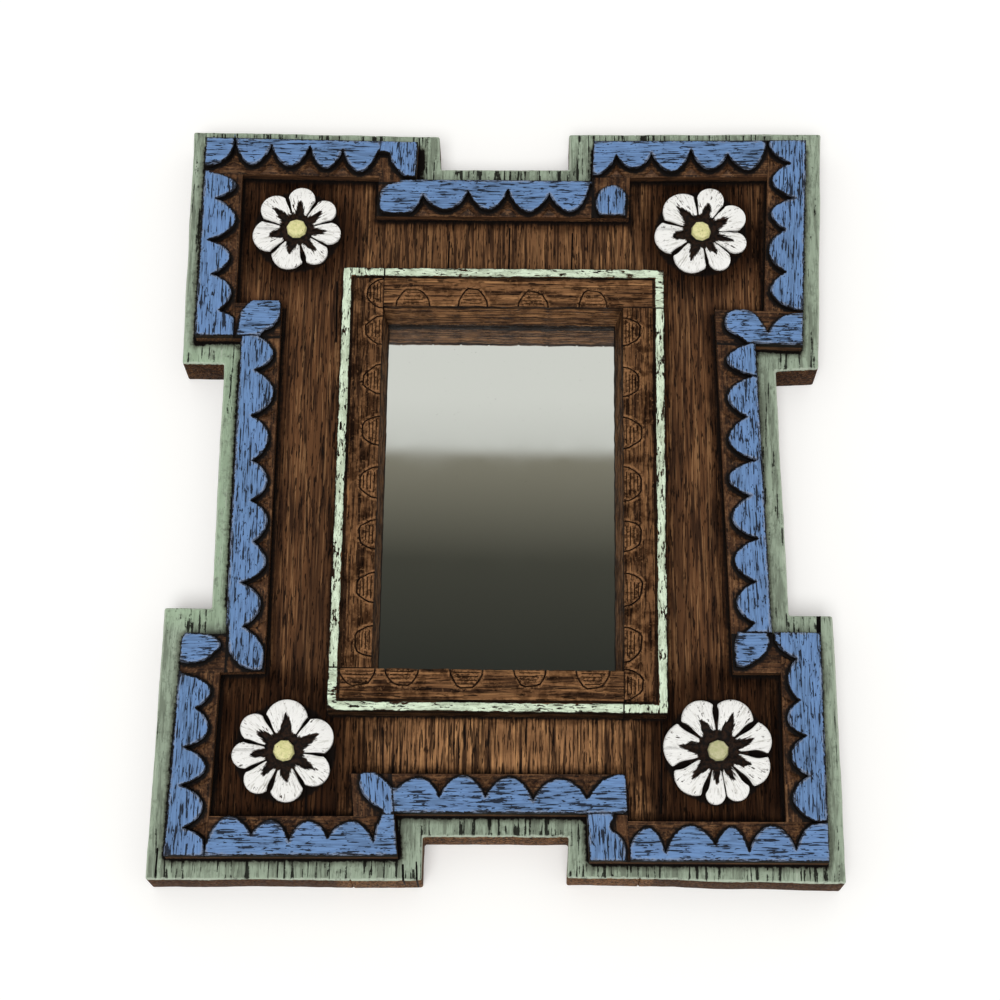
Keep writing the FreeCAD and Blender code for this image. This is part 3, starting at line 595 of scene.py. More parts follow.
def board_finish(colours):
    """Brown field, washed mint ledge and dark edge walls, with antique stain and painted shade at the foot of the
    strips and the moulding.
    """
    finish = Finish("washed_board")
    place = finish.place()
    patch = finish.clouds(place, 85, 5, 0.65)
    fine = finish.clouds(place, 620, 4, 0.65)
    warm = finish.times(finish.band(finish.mask("rail"), 0.0, 1.0), finish.band(patch, 0.35, 0.6, 0.4, 1.0))
    colour, relief = wood_layers(finish, place, colours, warm)
    dashes = finish.clouds(finish.stretched(place, (1, 0.08, 1), (0.2, 0.2, 0)), 950, 2, 0.5)
    dashes = finish.band(dashes, 0.58, 0.63)
    colour = finish.mix(finish.times(finish.times(dashes, finish.mask("rail")), 0.85), colour,
                        colours.wood_black)
    uneven = finish.ragged(finish.swing(patch, 7.0), fine, 3.0)
    # Darker wood towards the strips' inner edges, the moulding and the flowers. Beside the strips and the moulding
    # this is antique stain and painted shade at the foot of these raised parts.
    for name, first, last, share in (("field", 6.0, 0.5, 0.85), ("frame", 3.6, 0.5, 0.75),
                                     ("shade", 15.0, 2.5, 0.95)):
        near = finish.band(finish.plus(finish.mask(name), uneven), first, last)
        colour = finish.mix(finish.times(near, share), colour, colours.stain, "MULTIPLY")
    # Near black lines: painted shade and stain at the foot of the strips and the moulding, and the dark painted ring
    # round each flower.
    for name, width in (("field", 2.0), ("frame", 1.3), ("bloom", 1.5)):
        line = finish.band(finish.ragged(finish.mask(name), fine, 2.2), width, 0.3)
        colour = finish.mix(finish.times(line, 0.92), colour, colours.wood_black)
    wash = finish.clouds(finish.stretched(place, (1, 0.10, 1)), 420, 5, 0.7)
    blot = finish.clouds(place, 240, 5, 0.7)
    splits = finish.plus(finish.clouds(finish.stretched(place, (1, 0.05, 1)), 820, 2, 0.5, 0.2),
                         finish.times(finish.mask("end_grain"), 0.04))
    cracks = finish.band(finish.ragged(splits, blot, 0.35), 0.618, 0.645)
    mint = finish.mix(finish.band(wash, 0.40, 0.56), colours.mint_dark, colours.mint)
    mint = finish.mix(finish.times(finish.mask("fresh"), 0.6), mint, colours.mint_fresh)
    mint = finish.mix(finish.band(blot, 0.52, 0.68, 0.0, 0.75), mint, colours.mint_dark)
    mint = finish.mix(finish.band(wash, 0.60, 0.70, 0.0, 0.7), mint, colours.mint_worn)
    mint = finish.mix(finish.times(cracks, 0.93), mint, colours.wood_black)
    # On the ledge beside the strips: a darker band and a near black line at their foot, antique stain and painted
    # shade.
    edge = finish.ragged(finish.mask("ledge"), fine, 2.2)
    mint = finish.mix(finish.band(edge, 3.2, 0.8, 0.0, 0.75), mint, colours.stain, "MULTIPLY")
    mint = finish.mix(finish.band(edge, 1.35, 0.55), mint, colours.wood_black)
    rim = finish.ragged(finish.mask("rim"), wash, 2.4)
    mint = finish.mix(finish.band(rim, 0.75, 0.2, 0.0, 0.7), mint, colours.mint_worn)
    painted = finish.times(finish.band(finish.mask("ledge"), -3.0, -2.0), finish.band(
        finish.ragged(finish.height(), wash, 0.004),
        0.0166, 0.0172))
    low = finish.band(finish.height(), 0.0172, 0.0164, 0.0, 0.42)
    colour = finish.mix(low, colour, colours.stain, "MULTIPLY")
    colour = finish.mix(painted, colour, mint)
    colour = finish.mix(finish.band(finish.mask("crack"), 0.25, 0.08), colour, colours.wood_black)
    bump = finish.less(relief, finish.times(cracks, painted))
    return finish.done(colour, finish.band(fine, 0.3, 0.7, 0.5, 0.8), bump, 0.00022, Specular_IOR_Level=0.03)


def turned_grain(finish, way):
    """Distances along and across a piece, turned so that its grain runs along it."""
    return finish.node("Mapping", {"Vector": way, "Rotation": (0, 0, math.pi / 2)}).outputs[0]


def strip_finish(colours):
    """Dry-brushed blue over the lobes, bare stained wood in the cuts and on the walls, with painted shade in the
    cuts beside the lobes and at the foot of the walls.
    """
    finish = Finish("blue_scallops")
    way, place = finish.way(), finish.place()
    colour, relief = wood_layers(finish, turned_grain(finish, way), colours)
    fine = finish.clouds(place, 900, 4, 0.65)
    coarse = finish.clouds(place, 210, 4, 0.6)
    height = finish.height()
    rim = finish.ragged(finish.mask("rim"), fine, 1.5)
    # cuts and walls: near black beside the lobes, painted shade and dark stain where each cut runs deep; lit brown
    # in the middle of each cut
    chip = finish.ragged(finish.mask("chip"), fine, 1.5)
    cut = finish.mix(finish.band(fine, 0.50, 0.66, 0.0, 0.6), colour, colours.wood_light)
    cut = finish.mix(finish.band(coarse, 0.62, 0.40, 0.15, 0.75), cut, colours.stain, "MULTIPLY")
    cut = finish.mix(finish.band(chip, 1.75, 0.6), cut, colours.wood_black)
    cut = finish.mix(finish.band(finish.mask("rim"), 0.42, 0.30, 0.0, 0.8), cut, colours.wood_black)
    wall = finish.mix(0.35, colour, colours.wood_dark)
    # Painted shade: near black at the foot of the walls, where the strip meets the board.
    foot = finish.band(finish.ragged(height, fine, 0.003), 0.0203, 0.0188)
    wall = finish.mix(foot, wall, colours.wood_black)
    colour = finish.mix(finish.band(height, 0.0222, 0.0228), wall, cut)
    # paint: fine bare lines along the strip, rubbed edges and a dark outline
    lines = finish.clouds(finish.stretched(way, (0.09, 1, 1)), 1600, 1, 0.5)
    dashes = finish.clouds(finish.stretched(way, (0.25, 1, 1), (0.2, 0.3, 0)), 1750, 2, 0.5, 0.2)
    drag = finish.clouds(finish.stretched(way, (0.2, 1, 1)), 170, 4, 0.6)
    spread = finish.swing(coarse, 0.42)
    gaps = finish.band(finish.plus(lines, spread), 0.60, 0.63)
    specks = finish.band(finish.plus(dashes, spread), 0.645, 0.675)
    bare = finish.math("MAXIMUM", gaps, specks)
    blue = finish.mix(finish.band(drag, 0.32, 0.68), colours.blue_deep, colours.blue)
    blue = finish.mix(finish.band(lines, 0.52, 0.38, 0.0, 0.55), blue, colours.blue_bright)
    worn = finish.times(finish.band(rim, 1.3, 0.6), finish.band(coarse, 0.4, 0.6, 0.1, 0.8))
    blue = finish.mix(worn, blue, colours.blue_worn)
    blue = finish.mix(finish.times(bare, 0.93), blue, colours.streak)
    outline = finish.band(rim, 0.66, 0.34)
    blue = finish.mix(finish.times(outline, finish.band(coarse, 0.66, 0.46, 0.45, 1.0)), blue,
                      colours.wood_black)
    top = finish.band(finish.ragged(height, fine, 0.0006), 0.0252, 0.0256)
    colour = finish.mix(top, colour, blue)
    bump = finish.less(finish.times(finish.plus(lines, fine), 0.5), finish.times(bare, top))
    return finish.done(colour, finish.band(drag, 0.3, 0.7, 0.45, 0.7), bump, 0.00018, Specular_IOR_Level=0.12)


def moulding_finish(colours):
    """Dark worn moulding with a pale mint fillet, painted shade in the groove, on the outer wall and at the foot of
    the sight wall, and painted light on the walls and beside the carving.
    """
    finish = Finish("moulding_wood")
    way, place = finish.way(), finish.place()
    height = finish.height()
    # Below the top the walls and the groove take a slightly larger share of the warmer wood: painted light on the
    # walls.
    colour, relief = wood_layers(finish, turned_grain(finish, way), colours,
                                 finish.band(height, 0.0262, 0.0255, 0.42, 0.5))
    fine = finish.clouds(place, 800, 5, 0.7)
    patch = finish.clouds(place, 150, 5, 0.65)
    colour = finish.mix(finish.band(patch, 0.54, 0.40, 0.0, 0.7), colour, colours.stain, "MULTIPLY")
    colour = finish.mix(finish.times(finish.mask("soiled"), finish.band(patch, 0.65, 0.35, 0.5, 1.5)),
                        colour, colours.stain, "MULTIPLY")
    colour = finish.mix(finish.band(fine, 0.56, 0.68, 0.0, 0.5), colour, colours.wood_light)
    # Painted shade: the outer wall of the moulding darkened down to the field.
    outside = finish.times(finish.band(finish.mask("across"), 0.5, 0.1), finish.band(height, 0.0265, 0.0255))
    colour = finish.mix(finish.times(outside, 0.75), colour, colours.wood_black)
    # Painted shade in the groove, the incisions and the hatching below the top.
    hollow = finish.band(finish.ragged(height, fine, 0.0008), 0.0267, 0.0263)
    upper = finish.band(height, 0.0235, 0.0245)
    colour = finish.mix(finish.times(finish.times(hollow, upper), 0.8), colour, colours.wood_black)
    # Painted highlight: warmer, lighter wood on the top beside the carved lines.
    lit = finish.times(finish.band(finish.mask("carved"), 1.3, 0.4), finish.band(fine, 0.42, 0.58))
    colour = finish.mix(finish.times(lit, finish.band(height, 0.0264, 0.0268, 0.0, 0.65)), colour, colours.rail)
    # Painted shade: the sight wall near black at its foot, deep down by the glass.
    foot = finish.band(finish.ragged(height, fine, 0.003), 0.0098, 0.0084)
    colour = finish.mix(finish.times(foot, 0.95), colour, colours.wood_black)
    wear = finish.clouds(finish.stretched(way, (0.3, 1, 1)), 420, 6, 0.75)
    specks = finish.band(finish.plus(finish.clouds(finish.stretched(way, (0.25, 1, 1)), 1200, 3, 0.6, 0.3),
                                     finish.swing(patch, 0.6)), 0.57, 0.61)
    mint = finish.mix(finish.band(wear, 0.36, 0.6), colours.fillet_dark, colours.fillet)
    across = finish.ragged(finish.mask("across"), wear, 2.2)
    edge = finish.times(finish.band(across, 3.35, 3.1), finish.band(across, 0.0, 0.35))
    edge = finish.times(edge, finish.band(finish.mask("joint"), 0.45, 0.7))
    covered = finish.times(finish.band(height, 0.0262, 0.0266), finish.times(edge, finish.less(1.0, specks)))
    fillet = finish.times(finish.band(height, 0.0262, 0.0266), finish.band(across, 3.6, 3.2))
    colour = finish.mix(finish.times(fillet, 0.85), colour, colours.wood_black)
    colour = finish.mix(covered, colour, mint)
    colour = finish.mix(finish.band(finish.mask("joint"), 0.45, 0.25), colour, colours.wood_black)
    bump = finish.plus(relief, finish.times(finish.plus(fine, patch), 1.1))
    return finish.done(colour, finish.band(wear, 0.3, 0.7, 0.45, 0.75), bump, 0.0003, Specular_IOR_Level=0.02)


def petal_finish(colours):
    """White paint over dark wood, thin at the edges and brushed bare at the gouge cuts."""
    finish = Finish("white_petals")
    place, way = finish.place(), finish.way()
    wear = finish.clouds(place, 620, 5, 0.7)
    strokes = finish.clouds(finish.stretched(way, (0.12, 1, 1)), 1300, 4, 0.6)
    height = finish.height()
    ragged = finish.ragged(height, wear, 0.0016)
    cut = finish.ragged(finish.mask("cut"), strokes, 3.2)
    covered = finish.times(finish.band(ragged, 0.0203, 0.0208), finish.band(cut, 0.35, 0.75))
    flecks = finish.band(finish.ragged(strokes, wear, 0.6), 0.64, 0.69)
    covered = finish.times(covered, finish.less(1.0, flecks))
    white = finish.mix(finish.band(strokes, 0.30, 0.46), colours.white_thin, colours.white)
    white = finish.mix(finish.band(wear, 0.60, 0.74, 0.0, 0.35), white, colours.white_thin)
    scratches = finish.clouds(finish.stretched(way, (0.10, 1, 1), (0.4, 0.1, 0)), 2100, 2, 0.5)
    scratches = finish.band(scratches, 0.58, 0.66)
    white = finish.mix(finish.times(scratches, finish.band(wear, 0.4, 0.6, 0.1, 0.75)), white,
                       colours.white_rubbed)
    bare = finish.mix(finish.band(wear, 0.4, 0.62), colours.wood_black, colours.wood_dark)
    colour = finish.mix(covered, bare, white)
    return finish.done(colour, 0.6, finish.plus(strokes, wear), 0.0003, Specular_IOR_Level=0.12)


def button_finish(name, base, colours):
    """Pale yellow with a greenish mottle and a dark foot."""
    finish = Finish(name)
    place = finish.place()
    mottle = finish.clouds(place, 620, 5, 0.7)
    specks = finish.band(finish.clouds(place, 1500, 3, 0.6), 0.64, 0.70)
    green = tuple(a * b for a, b in zip(base, (0.80, 0.85, 0.72)))
    colour = finish.mix(finish.band(mottle, 0.38, 0.62), green, base)
    colour = finish.mix(specks, colour, colours.wood)
    covered = finish.band(finish.plus(finish.height(), finish.times(mottle, 0.001)), 0.0208, 0.0214)
    return finish.done(finish.mix(covered, colours.wood_black, colour), 0.5, mottle, 0.00025)


def glass_finish():
    """Silvered glass with faint specks."""
    finish = Finish("silvered_glass")
    place = finish.place()
    specks = finish.band(finish.clouds(place, 1800, 2, 0.5), 0.74, 0.78)
    haze = finish.clouds(place, 30, 3)
    colour = finish.mix(specks, (0.88, 0.89, 0.87), (0.25, 0.24, 0.22))
    return finish.done(colour, finish.band(haze, 0.3, 0.7, 0.015, 0.04), None, Metallic=1.0)


def fibreboard_finish():
    finish = Finish("backing_fibreboard")
    place = finish.place()
    fibres = finish.clouds(place, 1400, 6, 0.7)
    colour = finish.mix(finish.band(fibres, 0.35, 0.65), (0.11, 0.065, 0.035), (0.21, 0.13, 0.075))
    return finish.done(colour, 0.85, fibres, 0.0002)


def steel_finish():
    finish = Finish("zinc_steel")
    place = finish.place()
    tarnish = finish.clouds(place, 320, 5, 0.65)
    colour = finish.mix(finish.band(tarnish, 0.4, 0.7), (0.55, 0.54, 0.52), (0.24, 0.21, 0.18))
    return finish.done(colour, finish.band(tarnish, 0.3, 0.7, 0.3, 0.55), tarnish, 0.00005, Metallic=1.0)


# Operators
class BuildBoards(bpy.types.Operator):
    """Base boards with their stepped outline, cracks, ledges and stain"""
    bl_idname = "mirror.build_boards"
    bl_label = "Boards"

    def execute(self, context):
        noise.seed_set(NOISE_SEED)
        sizes, colours = context.scene.mirror_sizes, context.scene.mirror_colours
        material = board_finish(colours)
        moulding = [(-FRAME_X, FRAME_TOP), (FRAME_X, FRAME_TOP),
                    (FRAME_X, FRAME_BOTTOM), (-FRAME_X, FRAME_BOTTOM)]

        def bloom(spots, spread=0.0):
            away = [np.hypot(spots[:, 0] - middle[0], spots[:, 1] - middle[1]) - FLOWER_FOOT * radius
                    - (spread if middle[1] < 0 else 0.0) for middle, radius, *_ in FLOWERS.values()]
            return np.clip(np.min(away, axis=0), -1, FAR)

        def ledge(spots):
            away = np.clip(-depth_in(spots, STRIP_CORNERS), -9, 9)
            beside_leg = (abs(spots[:, 0] + 34.2) < 1.9) & (abs(spots[:, 1] - 137) < 10)
            away = np.where(beside_leg & (away > 0), np.minimum(away, 0.7), away)
            # On the left the dark line at the strips' foot, stain and painted shade, reaches 0.9 mm further out,
            # where the strips' overhang hides its first part.
            leftward = (spots[:, 0] < 0) & (nearest(spots, upright) < nearest(spots, level))
            return np.where(leftward & (away > 0), np.maximum(away - 0.9, 0.01), away)

        level = [(a, b) for a, b in closed(BOARD_CORNERS) if abs(a[0] - b[0]) > abs(a[1] - b[1])]
        upright = [pair for pair in closed(BOARD_CORNERS) if pair not in level]
        masks = {
            "ledge": ledge,
            "field": lambda spots: np.where(depth_in(spots, STRIP_CORNERS) < -0.5, float(FAR),
                                            np.clip(depth_in(spots, FIELD_CORNERS), -1, FAR)),
            "frame": lambda spots: np.clip(-depth_in(spots, moulding), -1, FAR),
            "bloom": bloom,
            "shade": lambda spots: bloom(spots, STAIN_SPREAD),
            "rail": lambda spots: (np.where(spots[:, 1] < FRAME_BOTTOM, 1.0, 0.4)
                                   * (abs(spots[:, 1]) > FRAME_TOP) * np.clip((60 - abs(spots[:, 0])) / 4, 0, 1)),
            "fresh": lambda spots: np.clip((60 - abs(spots[:, 1])) / 6, 0, 1) * (spots[:, 0] < 0),
            "end_grain": lambda spots: np.clip(nearest(spots, upright) - nearest(spots, level), -1, 1),
            "rim": lambda spots: np.clip(nearest(spots, closed(BOARD_CORNERS)), 0, 9)}
        panels = {"board_left": (-BEYOND, -OPENING_SIDE, -BEYOND, BEYOND),
                  "board_right": (OPENING_SIDE, BEYOND, -BEYOND, BEYOND),
                  "board_top": (-OPENING_SIDE, OPENING_SIDE, OPENING_TOP, BEYOND),
                  "board_bottom": (-OPENING_SIDE, OPENING_SIDE, -BEYOND, OPENING_BOTTOM)}
        for name, (x0, x1, y0, y1) in panels.items():
            shape = prism(BOARD_CORNERS, 0, BOARD_THICKNESS)
            for spot, normal in (((x0, 0, 0), (-1, 0, 0)), ((x1, 0, 0), (1, 0, 0)),
                                 ((0, y0, 0), (0, -1, 0)), ((0, y1, 0), (0, 1, 0))):
                cut = bmesh.ops.bisect_plane(shape, geom=shape.verts[:] + shape.edges[:] + shape.faces[:],
                                             plane_co=spot, plane_no=normal, clear_outer=True)
                rim = [part for part in cut["geom_cut"] if isinstance(part, bmesh.types.BMEdge)]
                if rim:
                    bmesh.ops.holes_fill(shape, edges=rim)
            bmesh.ops.recalc_face_normals(shape, faces=shape.faces)
            board_edges = closed(BOARD_CORNERS)

            def outer(edge):
                middle = (edge.verts[0].co + edge.verts[1].co) / 2
                return sharp(edge) and nearest(np.array([middle]), board_edges)[0] < 0.05

            soften(shape, sizes.board_arris / MM, outer, 3)
            tools, splits = [], []
            for ax, ay, bx, by, half in CRACKS[name]:
                tools.append(prism([(ax - 0.7 * half, ay), (ax + 0.7 * half, ay),
                                    ((ax + bx) / 2 + half, (ay + by) / 2), (bx + 0.6 * half, by),
                                    (bx - 0.6 * half, by), ((ax + bx) / 2 - 0.8 * half, (ay + by) / 2)],
                                   BOARD_THICKNESS - CRACK_DEPTH, BOARD_THICKNESS + 1))
                splits.append((((ax, ay), (bx, by)), half))
            masks["crack"] = lambda spots, splits=splits: np.clip(
                np.min([nearest(spots, [ends]) - half for ends, half in splits], axis=0), -1, 4)
            if name == "board_top":
                low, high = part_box("sawtooth_hanger")
                tools.append(slab(placer((0, 0), (1, 0), (0, 1)), -HANGER_HALF, HANGER_HALF,
                                  low.y / MM - HANGER_PLAY, high.y / MM + HANGER_PLAY, -1, high.z / MM))
                tools.append(prism(HANGER_HOLLOW, -1, HOLLOW_DEPTH))
            shape = cut_away(shape, tools)
            grid_cuts(shape, *BOARD_GRID)
            for vert in shape.verts:
                if nearest(np.array([vert.co]), board_edges)[0] < 1.2:
                    wave = noise.noise_vector(Vector((vert.co.x * 0.045, vert.co.y * 0.045, 3.0)))
                    small = noise.noise_vector(Vector((vert.co.x * 0.21, vert.co.y * 0.21, vert.co.z * 0.1)))
                    vert.co.x += EDGE_WAVE * wave.x + EDGE_RIPPLE * small.x
                    vert.co.y += EDGE_WAVE * wave.y + EDGE_RIPPLE * small.y
            finished(shape, name + "_carved", [name], material, masks)
        return {"FINISHED"}


def lobe(left, right, tip):
    """Points of a lobe between its two cusps."""
    points = []
    for step in range(1, LOBE_STEPS):
        share = step / LOBE_STEPS
        base = left[1] + (right[1] - left[1]) * share
        points.append((left[0] + (right[0] - left[0]) * share,
                       base + (tip - base) * math.sin(math.pi * share) ** LOBE_FULLNESS))
    return points


def painted_outline(name, place, start_shift, length):
    """Closed outline of the blue top of a lobed strip, in the frame."""
    cusps = [(u + start_shift, v) for u, v in CUSPS[name]]
    if name in END_KNOBS:
        outline = list(END_KNOBS[name])
    else:
        lead = CORNER_LOBES[name] or (cusps[0],)
        outline = [place(-OVERRUN, -OVERRUN), place(-OVERRUN, lead[0][1])] + [place(u, v) for u, v in lead]
    outline.append(place(*cusps[0]))
    for left, right, tip in zip(cusps, cusps[1:], TIPS[name]):
        outline += [place(u, v) for u, v in lobe(left, right, tip)] + [place(*right)]
    last = LAST_RISE.get(name, (length, cusps[-1][1]))
    outline += [place(*last), place(length + OVERRUN, last[1]), place(length + OVERRUN, -OVERRUN)]
    return [spot for spot, before in zip(outline, outline[-1:] + outline)
            if math.dist(spot, before) > SHORTEST_EDGE]


class BuildStrips(bpy.types.Operator):
    """Blue scalloped strips, butted end to side round the stepped outline"""
    bl_idname = "mirror.build_strips"
    bl_label = "Scalloped strips"

    def execute(self, context):
        sizes, colours = context.scene.mirror_sizes, context.scene.mirror_colours
        material = strip_finish(colours)
        for index, (name, start_reach, end_reach) in enumerate(STRIPS):
            outer, inner = edge_line(STRIP_CORNERS, index, 0), edge_line(STRIP_CORNERS, index, STRIP_WIDTH)
            before = edge_line(STRIP_CORNERS, index - 1, start_reach * STRIP_WIDTH)
            after = edge_line(STRIP_CORNERS, index + 1, end_reach * STRIP_WIDTH)
            first, last = meeting(outer, before), meeting(outer, after)
            ring = [first, last, meeting(inner, after), meeting(inner, before)]
            length = math.dist(first, last)
            place = placer(first, outer[1], outer[2])
            if name in PADS:
                outline, ridges = cut_corners(list(PADS[name])), []
            else:
                outline = painted_outline(name, place, start_reach * STRIP_WIDTH, length)
                ridges = [(u + start_reach * STRIP_WIDTH, v) for u, v in CUSPS[name]]
            kept = [prism(blue, CHIP_FLOOR - 1, STRIP_TOP + 2) for blue in [outline] + BESIDE.get(name, [])]
            kept += [self.ridge(place, u, v, sizes.ridge / MM) for u, v in ridges if 4 < u < length - 4]
            chips = cut_away(slab(place, -MARGIN, length + MARGIN, -MARGIN, STRIP_WIDTH + MARGIN,
                                CHIP_FLOOR, STRIP_TOP + 1), kept)
            shape = cut_away(prism(ring, BOARD_THICKNESS, STRIP_TOP), [chips])
            soften(shape, sizes.arris / MM, lambda edge: is_top_arris(edge, STRIP_TOP))
            grid_cuts(shape, *STRIP_GRID)
            edges = closed(outline) + [(ring[0], ring[1])]
            for blue in BESIDE.get(name, []):
                edges += closed(blue)
            ends = [(ring[1], ring[2]), (ring[3], ring[0])]

            def rim(spots, edges=edges, ends=ends):
                return np.minimum(np.minimum(nearest(spots, edges), nearest(spots, ends) + 0.25), 6.0)

            def chip(spots, edges=edges):
                return np.minimum(nearest(spots, edges), 6.0)

            finished(shape, "scallops_" + name, ["strip_" + name], material,
                     {"rim": rim, "chip": chip}, beside(first, outer[1], outer[2], index))
        return {"FINISHED"}

    def ridge(self, place, u, v, rise):
        """Low three-sided pyramid left standing in the middle of a cut."""
        depth, back = STRIP_WIDTH - v, STRIP_WIDTH + RIDGE_OVERRUN
        shape = prism([place(u - 0.42 * depth, back), place(u + 0.42 * depth, back),
                       place(u, v + 0.25 * depth)], CHIP_FLOOR - 1, CHIP_FLOOR - 0.02)
        shape.faces.ensure_lookup_table()
        top = [face for face in shape.faces if face.calc_center_median().z > CHIP_FLOOR - 0.1]
        middle = bmesh.ops.poke(shape, faces=top)["verts"][0]
        middle.co = (*place(u, STRIP_WIDTH - 0.3 * depth), CHIP_FLOOR + rise)
        return shape


class BuildMoulding(bpy.types.Operator):
    """Inner moulding with its fillet, groove, incised lunettes and the wall down into the opening"""
    bl_idname = "mirror.build_moulding"
    bl_label = "Moulding"

    def execute(self, context):
        noise.seed_set(NOISE_SEED)
        colours = context.scene.mirror_colours
        material = moulding_finish(colours)
        rows = (
            ("left", (-FRAME_X, FRAME_TOP), (0, -1), (1, 0), LONG_LENGTH, 7, True),
            ("bottom", (-FRAME_X, FRAME_BOTTOM), (1, 0), (0, 1), SHORT_LENGTH, 4, True),
            ("right", (FRAME_X, FRAME_BOTTOM), (0, 1), (-1, 0), LONG_LENGTH, 7, True),
            ("top", (FRAME_X, FRAME_TOP), (-1, 0), (0, -1), SHORT_LENGTH, 4, False))
        top, width = MOULDING_TOP, MOULDING_WIDTH
        for index, (name, corner, along, inward, length, count, extra) in enumerate(rows):
            place = placer(corner, along, inward)
            past, over = length + OVERRUN, width + OVERRUN
            rim = FILLET + GROOVE
            groove = prism([place(u, v) for u, v in (
                (FILLET, FILLET), (past, FILLET), (past, rim), (rim, rim), (rim, over), (FILLET, over))],
                top - GROOVE_DEPTH, top + 1)
            pitch = (length - width) / count
            centres = [width + pitch * (i + 0.5) for i in range(count)]
            if extra:
                centres.append(width - LUNETTE_WIDTH / 2 + 1.5)
            tools, carved = [groove], []
            for number, centre in enumerate(centres):
                tools += self.lunette(place, centre, number + 10 * index, carved)
            start = width - LEG_THICKNESS
            below = prism([place(u, v) for u, v in (
                (-OVERRUN, -OVERRUN), (past, -OVERRUN), (past, start), (start, start), (start, over),
                (-OVERRUN, over))], GLASS_TOP - 1, BOARD_THICKNESS)
            shape = cut_away(slab(place, 0, length, 0, width, GLASS_TOP, top), [below] + tools)
            foot = WALL_SLOPE[name]
            grid_cuts(shape, *MOULDING_GRID)
            for vert in shape.verts:
                x, y = vert.co.x - corner[0], vert.co.y - corner[1]
                reach = x * inward[0] + y * inward[1]
                if reach > width - 0.05 and x * along[0] + y * along[1] > width - 0.05:
                    sag = foot * (top - vert.co.z) / (top - GLASS_TOP)
                    wave = 0.35 * noise.noise(Vector((vert.co.x * 0.3, vert.co.y * 0.3, 5.0)))
                    shift = sag + (wave if vert.co.z > GLASS_TOP + 1 else wave + 0.3)
                    vert.co.x += shift * inward[0]
                    vert.co.y += shift * inward[1]
            soften(shape, 0.3, lambda edge: sharp(edge, 50) and all(
                vert.co.z > top - 0.05 for vert in edge.verts))

            def across(spots, corner=corner, along=along, inward=inward):
                x, y = spots[:, 0] - corner[0], spots[:, 1] - corner[1]
                return np.minimum(x * along[0] + y * along[1], x * inward[0] + y * inward[1])

            def near_cut(spots, carved=carved):
                return np.minimum(nearest(spots, carved), 6.0)

            def joint(spots, corner=corner, along=along, length=length):
                return length - (spots[:, 0] - corner[0]) * along[0] - (spots[:, 1] - corner[1]) * along[1]

            finished(shape, "moulding_" + name + "_carved", ["moulding_" + name], material,
                     {"across": across, "carved": near_cut, "joint": joint,
                      "soiled": lambda spots, share=SOILED[name]: np.full(len(spots), share)},
                     beside(corner, along, inward, index))
        return {"FINISHED"}

    def lunette(self, place, centre, seed, carved):
        """Cutters for the outline of a lunette and the hatching inside it."""
        lean = 0.5 * noise.noise(Vector((seed * 1.7, 0.5, 0.5)))
        wide = LUNETTE_WIDTH * (1 + 0.16 * noise.noise(Vector((seed * 2.3, 4.5, 0.5))))
        tall = LUNETTE_REACH * (1 + 0.16 * noise.noise(Vector((seed * 3.1, 8.5, 0.5))))
        width = MOULDING_WIDTH

        def at(share, height, grow):
            rough = noise.noise_vector(Vector((seed * 1.3, share * 3.7, 2.5)))
            u = centre + (share - 0.5) * (wide + 2 * grow) + lean * height + 0.9 * rough.x
            reach = height * (tall + grow + 0.9 * rough.y)
            return place(u, width - reach + (0.02 if height else OVERRUN * 0.3))

        rim = [at(share, height, 0.0) for share, height in LUNETTE]
        inner = [at(share, height, -INCISION) for share, height in LUNETTE]
        carved += list(zip(rim, rim[1:]))
        top = MOULDING_TOP
        tools = [prism(rim + inner[::-1], top - INCISION_DEPTH, top + 1)]
        for row in range(3 + seed % 2):
            height = 0.16 + 0.2 * row
            half = 0.37 * wide * (1 - 0.55 * height)
            line = width - height * tall
            slip = 0.9 * noise.noise(Vector((seed * 0.7, row * 1.9, 6.5)))
            start, end = centre - half + lean + slip, centre + half * (0.8 + 0.15 * (seed % 3)) + lean + slip
            tools.append(slab(place, start, end, line - 0.22, line + 0.22, top - 0.7, top + 1))
            carved.append((place(start, line), place(end, line)))
        return tools


